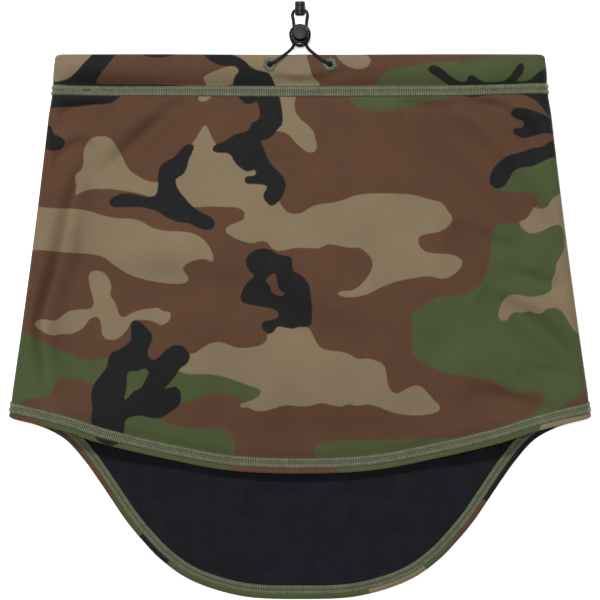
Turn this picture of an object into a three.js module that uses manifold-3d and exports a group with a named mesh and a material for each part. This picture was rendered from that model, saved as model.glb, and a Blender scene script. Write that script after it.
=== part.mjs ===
// A neck gaiter laid flat: a tapered tube of printed softshell whose back panel runs on into a deep rounded bib.
// The back panel lies on the ground, the front panel arches over it, and the neck opening faces +Y.
// A round elastic drawcord runs in the folded neck hem, comes out of two sewn eyelets at the front and passes
// through a sprung ball lock to a small barrel that ends the loop. Millimetres, +Z up, origin under the middle
// of the fabric.
import * as THREE from "three";
import { mergeVertices } from "three/addons/utils/BufferGeometryUtils.js";
import Module from "manifold-3d";

const wasm = await Module();
wasm.setup();

// ---- Driving dimensions ----------------------------------------------------------------------------------
const NECK_Y = 143.5; // the folded neck edge
const CORNER_Y = -46.7; // where the front and back hems meet at the side seams
const NECK_HALF_WIDTH = 129;
const HEM_HALF_WIDTH = 153.4;
const SIDE_BOW = 4.4; // how much of the flare comes late, towards the hem
const FOLD_RADIUS = 6; // outside radius of the fold at each side
const NECK_RISE = 3; // how far the front panel arches above its side folds
const BODY_RISE = 8;
const FLAT_NECK = 26; // depth of the neck hem, over which the section stays the same
const NECK_BLEND = 75; // length over which the arch grows from the neck's to the body's

const FACE = 0.9; // printed face fabric
const BACKER = 0.4; // bonded grid-knit lining
const GAP = 0.3; // left between pieces that touch
const TURN_DEPTH = FACE + GAP + BACKER + GAP; // where a turned-in layer starts, below the outer face
const STITCH_WIDTH = 5.8;
const STITCH_THICK = 0.3;
const STITCH_DENT = STITCH_THICK + GAP; // the stitching lies in a groove that it pulls in the face
const STITCH_RAMP = 0.75;
const HEM_LIP = 2.5; // cloth below the hem stitching
const NECK_LIP = 16.3; // cloth above the neck stitching
const CHANNEL_DEPTH = 3.9; // room for the drawcord under the outer face of the neck hem
const CHANNEL_END = 8.5;

const CORD_DIAMETER = 1.8;
const EYELET_X = 15.7;
const EYELET_FROM_NECK = 5.8;
const EYELET_BORE = 1.9;
const EYELET_SLEEVE = 2.3;
const EYELET_RIM = 3.6;

const LOCK_Y = 153.3;
const LOCK_TILT = THREE.MathUtils.degToRad(14);
const LOCK_RADIUS = 5.65;
const LOCK_BOTTOM = -7.5; // below the cords
const LOCK_RIM = 3.5;
const LOCK_WELL = 3.95;
const LOCK_FLOOR = -6.3;
const BUTTON_RADIUS = 3.65;
const BUTTON_TOP = 6.2;
const BUTTON_TRAVEL = 2;
const CORD_SPACING = 6.4; // between the two strands in the lock
const CORD_HOLE = 1.3; // radius of each cord hole
const SPRING_RADIUS = 2;
const SPRING_WIRE = 0.4;

const END_Y = 164.25;
const END_LENGTH = 7.6;
const END_RADIUS = 2.75;

// Height of each hem against the fraction of the half width, from the middle to the side seam.
const FRONT_HEM = [[0, -77], [0.25, -75.2], [0.45, -69.3], [0.67, -60.8], [0.8, -54.2], [1, CORNER_Y]];
const BACK_HEM = [
  [0, -143.5], [0.2, -141.8], [0.37, -133.3], [0.467, -122.8], [0.532, -112.3], [0.587, -101.8],
  [0.633, -91.2], [0.678, -80.7], [0.726, -70.2], [0.787, -59.6], [0.858, -53.3], [0.942, -49.1], [1, CORNER_Y],
];

// ---- Colours ---------------------------------------------------------------------------------------------
const cloth = (color) => new THREE.MeshStandardMaterial({ color, roughness: 0.85, metalness: 0 });
const plastic = (color) => new THREE.MeshStandardMaterial({ color, roughness: 0.35, metalness: 0 });
const printedCloth = cloth(0x5c4434);
const lining = cloth(0x1d1f24);
const sageThread = cloth(0x8a9872);
const blackCord = cloth(0x161616);
const blackPlastic = plastic(0x141414);
const springSteel = new THREE.MeshStandardMaterial({ color: 0xb8bcc0, roughness: 0.3, metalness: 1 });

// ---- Solids ----------------------------------------------------------------------------------------------
function toSolid(geometry) {
  const bare = geometry.clone();
  bare.deleteAttribute("normal");
  bare.deleteAttribute("uv");
  const merged = mergeVertices(bare, 1e-4);
  const vertProperties = merged.attributes.position.array;
  return new wasm.Manifold(new wasm.Mesh({ numProp: 3, vertProperties, triVerts: new Uint32Array(merged.index.array) }));
}

function toGeometry(solid) {
  const mesh = solid.getMesh();
  const geometry = new THREE.BufferGeometry();
  geometry.setAttribute("position", new THREE.BufferAttribute(mesh.vertProperties, 3));
  geometry.setIndex(new THREE.BufferAttribute(mesh.triVerts, 1));
  geometry.computeVertexNormals();
  return geometry;
}

function cut(geometry, ...cutters) {
  return toGeometry(cutters.reduce((solid, cutter) => solid.subtract(toSolid(cutter)), toSolid(geometry)));
}

function named(name, geometry, material) {
  const mesh = new THREE.Mesh(geometry, material);
  mesh.name = name;
  return mesh;
}

// Skins equal rings of points into one closed body. The section is a ring's outline in two dimensions: layers
// on top of each other are split along the same diagonals, and rings that don't close on themselves get ends.
function skin(rings, section, closes) {
  const size = rings[0].length;
  const positions = rings.flat().flatMap((p) => [p.x, p.y, p.z]);
  const index = [];
  const joins = closes ? rings.length : rings.length - 1;
  for (let i = 0; i < joins; i++) {
    const next = (i + 1) % rings.length;
    for (let k = 0; k < size; k++) {
      const k2 = (k + 1) % size;
      const [a, b, c, d] = [i * size + k, i * size + k2, next * size + k2, next * size + k];
      const towardsNeck = section[k2][0] >= section[k][0];
      const onLeft = rings[i][k].x + rings[next][k].x < 0;
      if (towardsNeck === onLeft) index.push(a, b, c, a, c, d);
      else index.push(a, b, d, b, c, d);
    }
  }
  if (!closes) {
    const outline = section.map(([x, y]) => new THREE.Vector2(x, y));
    const faces = THREE.ShapeUtils.triangulateShape(outline, []);
    const turns = (f) => (outline[f[1]].x - outline[f[0]].x) * (outline[f[2]].y - outline[f[0]].y)
      - (outline[f[2]].x - outline[f[0]].x) * (outline[f[1]].y - outline[f[0]].y);
    const forward = THREE.ShapeUtils.area(outline) > 0;
    const last = (rings.length - 1) * size;
    for (const f of faces) {
      const [a, b, c] = turns(f) > 0 === forward ? f : [f[0], f[2], f[1]];
      index.push(a, c, b, last + a, last + b, last + c);
    }
  }
  const geometry = new THREE.BufferGeometry();
  geometry.setAttribute("position", new THREE.Float32BufferAttribute(positions, 3));
  geometry.setIndex(index);
  if (signedVolume(geometry) < 0) geometry.setIndex(index.toReversed());
  return geometry;
}

function signedVolume(geometry) {
  const position = geometry.attributes.position;
  const corner = (i) => new THREE.Vector3().fromBufferAttribute(position, i);
  const index = geometry.index.array;
  let volume = 0;
  for (let i = 0; i < index.length; i += 3) {
    volume += corner(index[i]).dot(corner(index[i + 1]).cross(corner(index[i + 2]))) / 6;
  }
  return volume;
}

// A turned body about +Z from [radius, z] pairs that start and end on the axis or close on themselves.
function turned(profile, segments) {
  const points = profile.map(([r, z]) => new THREE.Vector2(r, z));
  return new THREE.LatheGeometry(points, segments).rotateX(Math.PI / 2);
}

function rod(curve, radius, sides, steps) {
  const section = new THREE.Shape();
  section.absarc(0, 0, radius, 0, 2 * Math.PI);
  return new THREE.ExtrudeGeometry(section, {
    extrudePath: curve, steps, curveSegments: sides / 2, bevelEnabled: false,
  });
}

// ---- The tube that the cloth follows ---------------------------------------------------------------------
const { lerp, smoothstep, clamp } = THREE.MathUtils;

// From 0 in the neck hem to 1 in the body of the tube.
const bodyShare = (y) => 1 - smoothstep(y, NECK_Y - FLAT_NECK - NECK_BLEND, NECK_Y - FLAT_NECK);
const rise = (y) => lerp(NECK_RISE, BODY_RISE, bodyShare(y));

function halfWidth(y) {
  const down = clamp((NECK_Y - y) / (NECK_Y - CORNER_Y), 0, 1);
  return NECK_HALF_WIDTH + (HEM_HALF_WIDTH - NECK_HALF_WIDTH - SIDE_BOW) * down + SIDE_BOW * down * down;
}

// The lean of the front panel's arch where it meets the side fold.
const flatHalf = (y) => halfWidth(y) - FOLD_RADIUS;
const edgeLean = (panel, y) => (panel === "front" ? Math.atan((2 * rise(y)) / flatHalf(y)) : 0);
const clothHalf = (panel, y) => flatHalf(y) + FOLD_RADIUS * (Math.PI / 2 - edgeLean(panel, y));

// The point a fraction u across a panel (-1 and 1 are its side seams), at y, some depth below its outer face.
function onTube(panel, u, y, depth) {
  const [side, flat] = [Math.sign(u) || 1, flatHalf(y)];
  const seam = 1 - GAP / 2 / clothHalf(panel, y);
  const across = Math.min(Math.abs(u), seam) * clothHalf(panel, y);
  const share = Math.min(across / flat, 1);
  const arch = panel === "front" ? rise(y) : 0;
  const lean = across < flat ? Math.atan((2 * arch * share) / flat) : edgeLean(panel, y) + (across - flat) / FOLD_RADIUS;
  const outward = FOLD_RADIUS - depth;
  const up = panel === "front" ? 1 : -1;
  return new THREE.Vector3(
    side * (share * flat + outward * Math.sin(lean)),
    y,
    FOLD_RADIUS + arch * (1 - share * share) + up * outward * Math.cos(lean),
  );
}

// ---- Columns of cloth from hem to neck -------------------------------------------------------------------
const HEM_ZONE = 12; // a column leaves the hem square to it for this far
const SIDE_STATIONS = [0.93, 0.955, 0.97, 0.985, 1];
const MIDDLE_STATIONS = 13;

function hemHeight(panel, u) {
  const points = (panel === "front" ? FRONT_HEM : BACK_HEM).map(([x, y]) => new THREE.Vector3(x * HEM_HALF_WIDTH, y, 0));
  const mirrored = points.slice(1).reverse().map((p) => new THREE.Vector3(-p.x, p.y, 0));
  const curve = new THREE.CatmullRomCurve3([...mirrored, ...points], false, "centripetal");
  const line = curve.getPoints(40 * points.length);
  const x = clamp(u, -1, 1) * HEM_HALF_WIDTH;
  const i = clamp(line.findIndex((p) => p.x >= x), 1, line.length - 1);
  return lerp(line[i - 1].y, line[i].y, (x - line[i - 1].x) / (line[i].x - line[i - 1].x));
}

function hemSamples(panel, limit) {
  const samples = [];
  for (let k = 0; k <= 120; k++) {
    const u = lerp(-limit, limit, k / 120);
    samples.push(new THREE.Vector2(u * HEM_HALF_WIDTH, hemHeight(panel, u)));
  }
  return samples;
}

// The columns' places on the hem, evenly spaced along it between the side folds.
function hemStations(panel) {
  const limit = 0.9;
  const samples = hemSamples(panel, limit);
  const along = samples.map(() => 0);
  for (let k = 1; k < samples.length; k++) along[k] = along[k - 1] + samples[k].distanceTo(samples[k - 1]);
  const middle = Array.from({ length: MIDDLE_STATIONS }, (_, i) => {
    const target = along.at(-1) * (i / (MIDDLE_STATIONS - 1));
    const k = clamp(along.findIndex((a) => a >= target), 1, samples.length - 1);
    const x = lerp(samples[k - 1].x, samples[k].x, (target - along[k - 1]) / (along[k] - along[k - 1]));
    return { hemU: x / HEM_HALF_WIDTH, neckU: lerp(-limit, limit, i / (MIDDLE_STATIONS - 1)) };
  });
  const sides = SIDE_STATIONS.map((u) => ({ hemU: u, neckU: u }));
  const left = sides.toReversed().map(({ hemU }) => ({ hemU: -hemU, neckU: -hemU }));
  return [...left, ...middle, ...sides];
}

function makeColumns(panel) {
  return hemStations(panel).map(({ hemU, neckU }) => {
    const step = 0.01;
    const hemY = hemHeight(panel, hemU);
    const slope = (hemHeight(panel, hemU + step) - hemHeight(panel, hemU - step)) / (2 * step * HEM_HALF_WIDTH);
    const free = 1 - smoothstep(Math.abs(hemU), 0.86, 0.94); // columns in the side folds run straight up
    const inward = new THREE.Vector2(-slope * free, 1).normalize();
    const scale = clothHalf(panel, hemY);
    const start = (d) => [hemU + (inward.x * d) / scale, hemY + inward.y * d];
    const [zoneU, zoneY] = start(HEM_ZONE);
    const at = (y) => {
      const t = clamp((y - zoneY) / (NECK_Y - zoneY), 0, 1);
      return [lerp(zoneU, neckU, 1 - (1 - t) * (1 - t)), y];
    };
    const place = {
      hem: start,
      neck: (e) => at(NECK_Y - e),
      body: (share) => at(lerp(zoneY + 1, NECK_Y - FLAT_NECK, share)),
    };
    return (zone, value, depth) => {
      const [u, y] = place[zone](value);
      return onTube(panel, u, y, depth);
    };
  });
}

const columns = { front: makeColumns("front"), back: makeColumns("back") };

// Skins a section, given as [zone, value, depth] points, across all of a panel's columns.
function clothPiece(panel, section) {
  const rings = columns[panel].map((point) => section.map(([zone, value, depth]) => point(zone, value, depth)));
  const zoneStart = { hem: 0, body: 100, neck: 300 };
  const outline = section.map(([zone, value, depth]) => {
    const along = zone === "neck" ? zoneStart.neck - value : zoneStart[zone] + (zone === "body" ? 100 : 1) * value;
    return [along, depth];
  });
  return skin(rings, outline, false);
}

// ---- Sections --------------------------------------------------------------------------------------------
const HEM_STITCH = [HEM_LIP, HEM_LIP + STITCH_WIDTH];
const NECK_STITCH = [NECK_LIP, NECK_LIP + STITCH_WIDTH];
const BODY_ROWS = [0, 0.4, 0.7, 1];

// A layer's edge from hem to neck at one depth.
function edge(depth, hemStart, neckStart) {
  return [["hem", hemStart, depth], ...BODY_ROWS.map((share) => ["body", share, depth]), ["neck", neckStart, depth]];
}

// The outer edge, with a groove under each line of stitching.
function groovedEdge(hemStart, neckStart) {
  const groove = (zone, [from, to]) => [
    [zone, from - STITCH_RAMP, 0], [zone, from, STITCH_DENT], [zone, to, STITCH_DENT], [zone, to + STITCH_RAMP, 0],
  ];
  const [hem, ...body] = edge(0, hemStart, neckStart);
  const neck = body.pop();
  return [hem, ...groove("hem", HEM_STITCH), ...body, ...groove("neck", NECK_STITCH).reverse(), neck];
}

// Half a round fold from one depth to another, turning round the cloth's edge.
function fold(zone, fromDepth, toDepth, radius, reach) {
  const middle = (fromDepth + toDepth) / 2;
  const way = Math.sign(toDepth - fromDepth);
  return [-60, 0, 60].map((degrees) => {
    const angle = THREE.MathUtils.degToRad(degrees);
    return [zone, reach - radius * Math.cos(angle), middle + way * radius * Math.sin(angle)];
  });
}

// The face fabric turns in at the hem, runs up the outside, and folds over the drawcord at the neck.
function panelSection() {
  const hemInner = TURN_DEPTH + FACE;
  const hemRadius = hemInner / 2;
  const neckInner = CHANNEL_DEPTH + FACE;
  const neckRadius = neckInner / 2;
  const turnedNeck = (extra) => [
    ["neck", neckRadius, CHANNEL_DEPTH + extra], ["neck", CHANNEL_END, CHANNEL_DEPTH + extra],
    ["neck", NECK_STITCH[0] - 3, TURN_DEPTH + extra], ["neck", NECK_STITCH[1], TURN_DEPTH + extra],
  ];
  return [
    ["hem", HEM_STITCH[1], hemInner], ["hem", hemRadius, hemInner],
    ...fold("hem", hemInner, 0, hemRadius, hemRadius),
    ...groovedEdge(hemRadius, neckRadius),
    ...fold("neck", 0, neckInner, neckRadius, neckRadius),
    ...turnedNeck(FACE), ...turnedNeck(0).reverse(),
    ...fold("neck", CHANNEL_DEPTH, FACE, neckRadius - FACE, neckRadius),
    ...edge(FACE, hemRadius, neckRadius).reverse(),
    ...fold("hem", FACE, TURN_DEPTH, hemRadius - FACE, hemRadius),
    ["hem", hemRadius, TURN_DEPTH], ["hem", HEM_STITCH[1], TURN_DEPTH],
  ];
}

function liningSection() {
  const [top, hemStart, neckStart] = [FACE + GAP, 1.6, 2.4];
  return [...edge(top, hemStart, neckStart), ...edge(top + BACKER, hemStart, neckStart).reverse()];
}

function bandSection(zone, [from, to], depth) {
  const clear = 0.2;
  return [
    [zone, from + clear, depth], [zone, to - clear, depth],
    [zone, to - clear, depth + STITCH_THICK], [zone, from + clear, depth + STITCH_THICK],
  ];
}

const INNER_BAND = TURN_DEPTH + FACE + GAP;

// ---- Cloth and stitching ---------------------------------------------------------------------------------
const eyeletZ = onTube("front", 0, NECK_Y - EYELET_FROM_NECK, 0).z;
const eyeletHoles = [-1, 1].map((side) => new THREE.CylinderGeometry(2.6, 2.6, 3.2, 20)
  .rotateX(Math.PI / 2).translate(side * EYELET_X, NECK_Y - EYELET_FROM_NECK, eyeletZ - 0.4));

function neckBand(depth) {
  const section = bandSection("neck", NECK_STITCH, depth);
  const ring = (point) => section.map(([zone, value, d]) => point(zone, value, d));
  return skin([...columns.front.map(ring), ...columns.back.toReversed().map(ring)], section, true);
}

const hemBand = (panel, depth) => clothPiece(panel, bandSection("hem", HEM_STITCH, depth));

// The seam allowances of the two panels, overlocked together, as a fin that points in from the side fold.
function sideSeam(side) {
  const section = [[0, -0.6], [2.3, -0.6], [2.3, 0.6], [0, 0.6]];
  const [from, to] = [CORNER_Y + 14, NECK_Y - FLAT_NECK];
  const rings = Array.from({ length: 9 }, (_, i) => {
    const y = lerp(from, to, i / 8);
    const inner = halfWidth(y) - TURN_DEPTH - section[1][0];
    return section.map(([x, z]) => new THREE.Vector3(side * (inner + x), y, FOLD_RADIUS + z));
  });
  return skin(rings, section, false);
}

// A sewn eyelet: a rim of thread on the cloth and a sleeve through the two outer layers.
function eyelet(side) {
  const [rimLow, rimHigh, foot] = [GAP, GAP + 0.5, GAP - TURN_DEPTH];
  const profile = [
    [EYELET_BORE, foot], [EYELET_SLEEVE, foot], [EYELET_SLEEVE, rimLow], [EYELET_RIM, rimLow],
    [EYELET_RIM, rimHigh - 0.2], [EYELET_RIM - 0.4, rimHigh], [EYELET_BORE + 0.4, rimHigh],
    [EYELET_BORE, rimHigh - 0.25], [EYELET_BORE, foot],
  ];
  return turned(profile, 18).translate(side * EYELET_X, NECK_Y - EYELET_FROM_NECK, eyeletZ);
}

// ---- Drawcord --------------------------------------------------------------------------------------------
// From inside the lock, out through the left eyelet's side and round the left fold to the centre back.
const LEFT_ROUTE = [
  [-3.2, 153.1, 7.7], [-3.2, 150.6, 8.35], [-3.4, 148.1, 9.6], [-4.9, 145.7, 12.3], [-8, 142.9, 15.6],
  [-12, 140, 17.2], [-15, 138, 15.95], [-16.1, 137.7, 13.8], [-17.3, 137.6, 12.4], [-20, 137.6, 12.2],
  [-60, 137.6, 11.55], [-95, 137.6, 10.5], [-121, 137.6, 9.35], [-124.6, 137.6, 9.1], [-126.6, 137.6, 7.2],
  [-126.6, 137.6, 4.8], [-124.6, 137.6, 2.9], [-121, 137.6, 2.75],
];

function routeCurve(points) {
  const curve = new THREE.CatmullRomCurve3(points.map((p) => new THREE.Vector3(...p)), false, "centripetal");
  curve.getUtoTmapping = (u) => u; // the same number of steps between each two points, so bends get more
  return curve;
}

const mirror = (points) => points.toReversed().map(([x, y, z]) => [-x, y, z]);
const drawcordRoute = [...LEFT_ROUTE, [0, 137.6, 2.75], ...mirror(LEFT_ROUTE)];

// From the lock round the bend that the end barrel hangs on.
const LEFT_LOOP = [
  [-3.2, 153.5, 7.6], [-3.2, 156, 7], [-3.25, 158.4, 6.3], [-3.45, 160.7, 4.9], [-3.75, 162.8, 3.5],
  [-4, 164.7, 2.85], [-3.4, 166.4, 2.8], [-1.8, 167.45, 2.8],
];
const loopRoute = [...LEFT_LOOP, [0, 167.85, 2.8], ...mirror(LEFT_LOOP)];

const cord = (route) => rod(routeCurve(route), CORD_DIAMETER / 2, 8, 2 * (route.length - 1));

// ---- Ball lock, built about the button's axis with the cords along Y at z 0 ------------------------------
function lockBarrel() {
  const profile = [
    [0, LOCK_BOTTOM], [2.2, LOCK_BOTTOM + 0.35], [3.9, -6.2], [4.9, -4.6], [5.35, -2.6], [5.45, -0.5], [5.35, 1],
    [5.15, 1.5], [LOCK_RADIUS, 1.9], [LOCK_RADIUS, 2.9], [5.3, LOCK_RIM], [4.3, LOCK_RIM], [LOCK_WELL, 3.2],
    [LOCK_WELL, LOCK_FLOOR], [0, LOCK_FLOOR],
  ];
  const hole = (side) => new THREE.CylinderGeometry(CORD_HOLE, CORD_HOLE, 16, 14)
    .translate((side * CORD_SPACING) / 2, 0, 0);
  return cut(turned(profile, 24), hole(-1), hole(1));
}

// The cords pass either side of the button's central web; the shoulder below them grips when it is released.
function lockButton() {
  const foot = -CORD_HOLE - 1.2;
  const window = { low: -CORD_HOLE, high: CORD_HOLE + BUTTON_TRAVEL + 0.2, inner: 1.7 };
  const profile = [
    [0, foot], [BUTTON_RADIUS, foot], [BUTTON_RADIUS, BUTTON_TOP - 0.9], [BUTTON_RADIUS - 0.25, BUTTON_TOP - 0.35],
    [BUTTON_RADIUS - 0.9, BUTTON_TOP - 0.05], [BUTTON_RADIUS - 1.3, BUTTON_TOP], [0, BUTTON_TOP],
  ];
  const width = LOCK_RADIUS;
  const opening = (side) => new THREE.BoxGeometry(width, 16, window.high - window.low)
    .translate(side * (window.inner + width / 2), 0, (window.high + window.low) / 2);
  return cut(turned(profile, 24), opening(-1), opening(1));
}

class Helix extends THREE.Curve {
  constructor(radius, low, high, turns) {
    super();
    Object.assign(this, { radius, low, high, turns });
  }

  getPoint(t) {
    const angle = 2 * Math.PI * this.turns * t;
    return new THREE.Vector3(this.radius * Math.cos(angle), this.radius * Math.sin(angle), lerp(this.low, this.high, t));
  }
}

function lockSpring() {
  const low = LOCK_FLOOR + SPRING_WIRE / 2 + 0.15;
  const high = -CORD_HOLE - 1.2 - SPRING_WIRE / 2 - 0.15;
  return rod(new Helix(SPRING_RADIUS, low, high, 4), SPRING_WIRE / 2, 6, 44);
}

// ---- End barrel, turned about Y --------------------------------------------------------------------------
function endBody() {
  const profile = [
    [0, 0], [1.5, 0], [2.25, 0.35], [2.65, 1], [2.65, 1.9], [2.45, 2.15], [END_RADIUS, 2.5], [END_RADIUS, 4.9],
    [2.5, 5.15], [1.2, 5.15], [1.2, 6.2], [0, 6.2],
  ];
  const body = turned(profile, 18).rotateX(-Math.PI / 2).translate(0, END_Y, END_RADIUS + 0.05);
  return cut(body, rod(routeCurve(loopRoute), CORD_HOLE, 10, 32));
}

function endCap() {
  const [low, high, rim] = [5.45, END_LENGTH, END_RADIUS - 0.1];
  const profile = [
    [1.5, low], [rim - 0.1, low], [rim, low + 0.3], [rim, high - 0.7], [rim - 0.4, high - 0.15], [1.8, high],
    [0, high], [0, 6.5], [1.5, 6.5], [1.5, low],
  ];
  return turned(profile, 18).rotateX(-Math.PI / 2).translate(0, END_Y, END_RADIUS + 0.05);
}

// ---- Assembly --------------------------------------------------------------------------------------------
const gaiter = new THREE.Group();
gaiter.add(
  named("front_panel", cut(clothPiece("front", panelSection()), ...eyeletHoles), printedCloth),
  named("back_panel", clothPiece("back", panelSection()), printedCloth),
  named("front_lining", cut(clothPiece("front", liningSection()), ...eyeletHoles), lining),
  named("back_lining", clothPiece("back", liningSection()), lining),
  named("neck_stitching_outer", neckBand(0), sageThread),
  named("neck_stitching_inner", neckBand(INNER_BAND), sageThread),
  named("front_hem_stitching_outer", hemBand("front", 0), sageThread),
  named("front_hem_stitching_inner", hemBand("front", INNER_BAND), sageThread),
  named("back_hem_stitching_outer", hemBand("back", 0), sageThread),
  named("back_hem_stitching_inner", hemBand("back", INNER_BAND), sageThread),
  named("left_side_seam", sideSeam(-1), sageThread),
  named("right_side_seam", sideSeam(1), sageThread),
  named("left_eyelet", eyelet(-1), sageThread),
  named("right_eyelet", eyelet(1), sageThread),
  named("drawcord", cord(drawcordRoute), blackCord),
  named("drawcord_loop", cord(loopRoute), blackCord),
);

const lock = new THREE.Group();
lock.position.set(0, LOCK_Y, -LOCK_BOTTOM + 0.15);
lock.rotation.x = -LOCK_TILT;
lock.add(
  named("lock_barrel", lockBarrel(), blackPlastic),
  named("lock_button", lockButton(), blackPlastic),
  named("lock_spring", lockSpring(), springSteel),
);
gaiter.add(lock, named("cord_end_body", endBody(), blackPlastic), named("cord_end_cap", endCap(), blackPlastic));

export default gaiter;
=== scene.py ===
"""The looks of a neck gaiter that lies flat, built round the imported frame: a printed softshell tube with a
bib, its knit lining, coverstitching, sewn eyelets, elastic drawcord and cord lock. Lengths are in millimetres
until a mesh is made."""
import math

import bpy
import numpy as np
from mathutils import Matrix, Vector


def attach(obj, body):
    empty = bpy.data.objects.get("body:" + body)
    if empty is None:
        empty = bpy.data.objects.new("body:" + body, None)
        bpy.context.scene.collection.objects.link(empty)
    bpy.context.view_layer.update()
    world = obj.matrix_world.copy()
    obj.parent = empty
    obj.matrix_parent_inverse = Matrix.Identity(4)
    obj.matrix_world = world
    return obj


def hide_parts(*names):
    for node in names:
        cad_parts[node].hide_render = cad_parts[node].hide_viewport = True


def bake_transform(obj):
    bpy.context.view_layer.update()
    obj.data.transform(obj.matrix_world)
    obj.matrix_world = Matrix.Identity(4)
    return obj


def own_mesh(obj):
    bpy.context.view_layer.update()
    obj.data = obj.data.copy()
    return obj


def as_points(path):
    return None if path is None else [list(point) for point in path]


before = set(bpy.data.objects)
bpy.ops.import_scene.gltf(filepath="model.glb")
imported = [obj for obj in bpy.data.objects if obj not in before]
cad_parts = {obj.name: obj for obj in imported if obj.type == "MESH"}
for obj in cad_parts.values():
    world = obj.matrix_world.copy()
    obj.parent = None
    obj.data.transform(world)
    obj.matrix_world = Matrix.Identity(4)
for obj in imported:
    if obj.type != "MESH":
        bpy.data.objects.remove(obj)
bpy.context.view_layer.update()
MM = 0.001

# ---- The cut of the gaiter --------------------------------------------------------------------------------
NECK_Y = 143.5  # the folded neck edge
CORNER_Y = -46.7  # where the two hems meet at the side seams
NECK_HALF_WIDTH = 129
HEM_HALF_WIDTH = 153.4
SIDE_BOW = 4.4  # how far the side edges curve in, at the hem's end
FOLD_RADIUS = 6  # of the rounded side folds, so half the tube's thickness there
NECK_RISE = 3  # how far the front arches above the side folds, in the neck band
BODY_RISE = 8  # and in the body
FLAT_NECK = 26  # the neck band: rows this near the neck edge run parallel to it
NECK_BLEND = 75  # below the band, the arch grows over this length
HEM_ZONE = 12  # rows near a hem run parallel to it for this far
FRONT_HEM = [(0, -77), (0.25, -75.2), (0.45, -69.3), (0.67, -60.8), (0.8, -54.2), (1, CORNER_Y)]
BACK_HEM = [
    (0, -143.5), (0.2, -141.8), (0.37, -133.3), (0.467, -122.8), (0.532, -112.3), (0.587, -101.8),
    (0.633, -91.2), (0.678, -80.7), (0.726, -70.2), (0.787, -59.6), (0.858, -53.3), (0.942, -49.1),
    (1, CORNER_Y),
]
HEMS = {"front": FRONT_HEM, "back": BACK_HEM}  # (share of the half width, height)

FACE = 0.5  # printed face of the laminate
LINING = 0.45  # its knit backing
HEM_TURN = 7.9  # depth of the turned-up hem
COLUMNS = 236  # of vertices, across a panel
FAR = 60.0  # a distance from the hem at which its stitching has no effect
STITCH_WIDTH = 5.6
HALF_STITCH = STITCH_WIDTH / 2
STITCH_PITCH = 0.92
THREAD_RADIUS = 0.24
LAST_COLUMN = 0.9999  # stitching stops just short of the side folds
HEM_STITCH = 5.4  # middle of the hem stitching, above the hem edge
BIB_STITCH = 4.9  # the same round the bib
BIB_WIDTH = 4.7
NECK_STITCH = 19.2  # middle of the neck stitching, below the neck edge
NECK_TURN = 22.6  # depth of the turned-in neck edge
NECK_SAG = 0.45  # how far the cord pulls the middle of the neck edge down
HEM_DROOP = 12  # how far the middle of the front hem hangs below the tube's arch
CHANNEL = 4.1  # thickness of the drawcord channel

EYELET_X = 15.7
EYELET_Y = NECK_Y - 5.8
CORD_RADIUS = 0.88

# ---- The cords' routes, from inside the lock's left hole; the right side mirrors the left ------------------
LEFT_ROUTE = [
    (-3.2, 153.1, 7.7), (-3.2, 150.6, 8.35), (-3.4, 148.1, 9.6), (-4.9, 145.7, 12.3), (-8, 142.9, 15.6),
    (-12, 140, 17.2), (-15, 138, 15.95), (-16.1, 137.7, 13.8), (-17.3, 137.6, 12.4), (-20, 137.6, 12.2),
    (-60, 137.6, 11.55), (-95, 137.6, 10.5), (-121, 137.6, 9.35), (-124.6, 137.6, 9.1), (-126.6, 137.6, 7.2),
    (-126.6, 137.6, 4.8), (-124.6, 137.6, 2.9), (-121, 137.6, 2.75),
]
BACK_MIDDLE = (0, 137.6, 2.75)
LEFT_LOOP = [
    (-3.2, 153.5, 7.6), (-3.2, 156, 7), (-3.25, 158.4, 6.3), (-3.45, 160.7, 4.9), (-3.75, 162.8, 3.5),
    (-4, 164.7, 2.85), (-3.4, 166.4, 2.8), (-1.8, 167.45, 2.8),
]
LOOP_END = (0, 167.85, 2.8)

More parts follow.
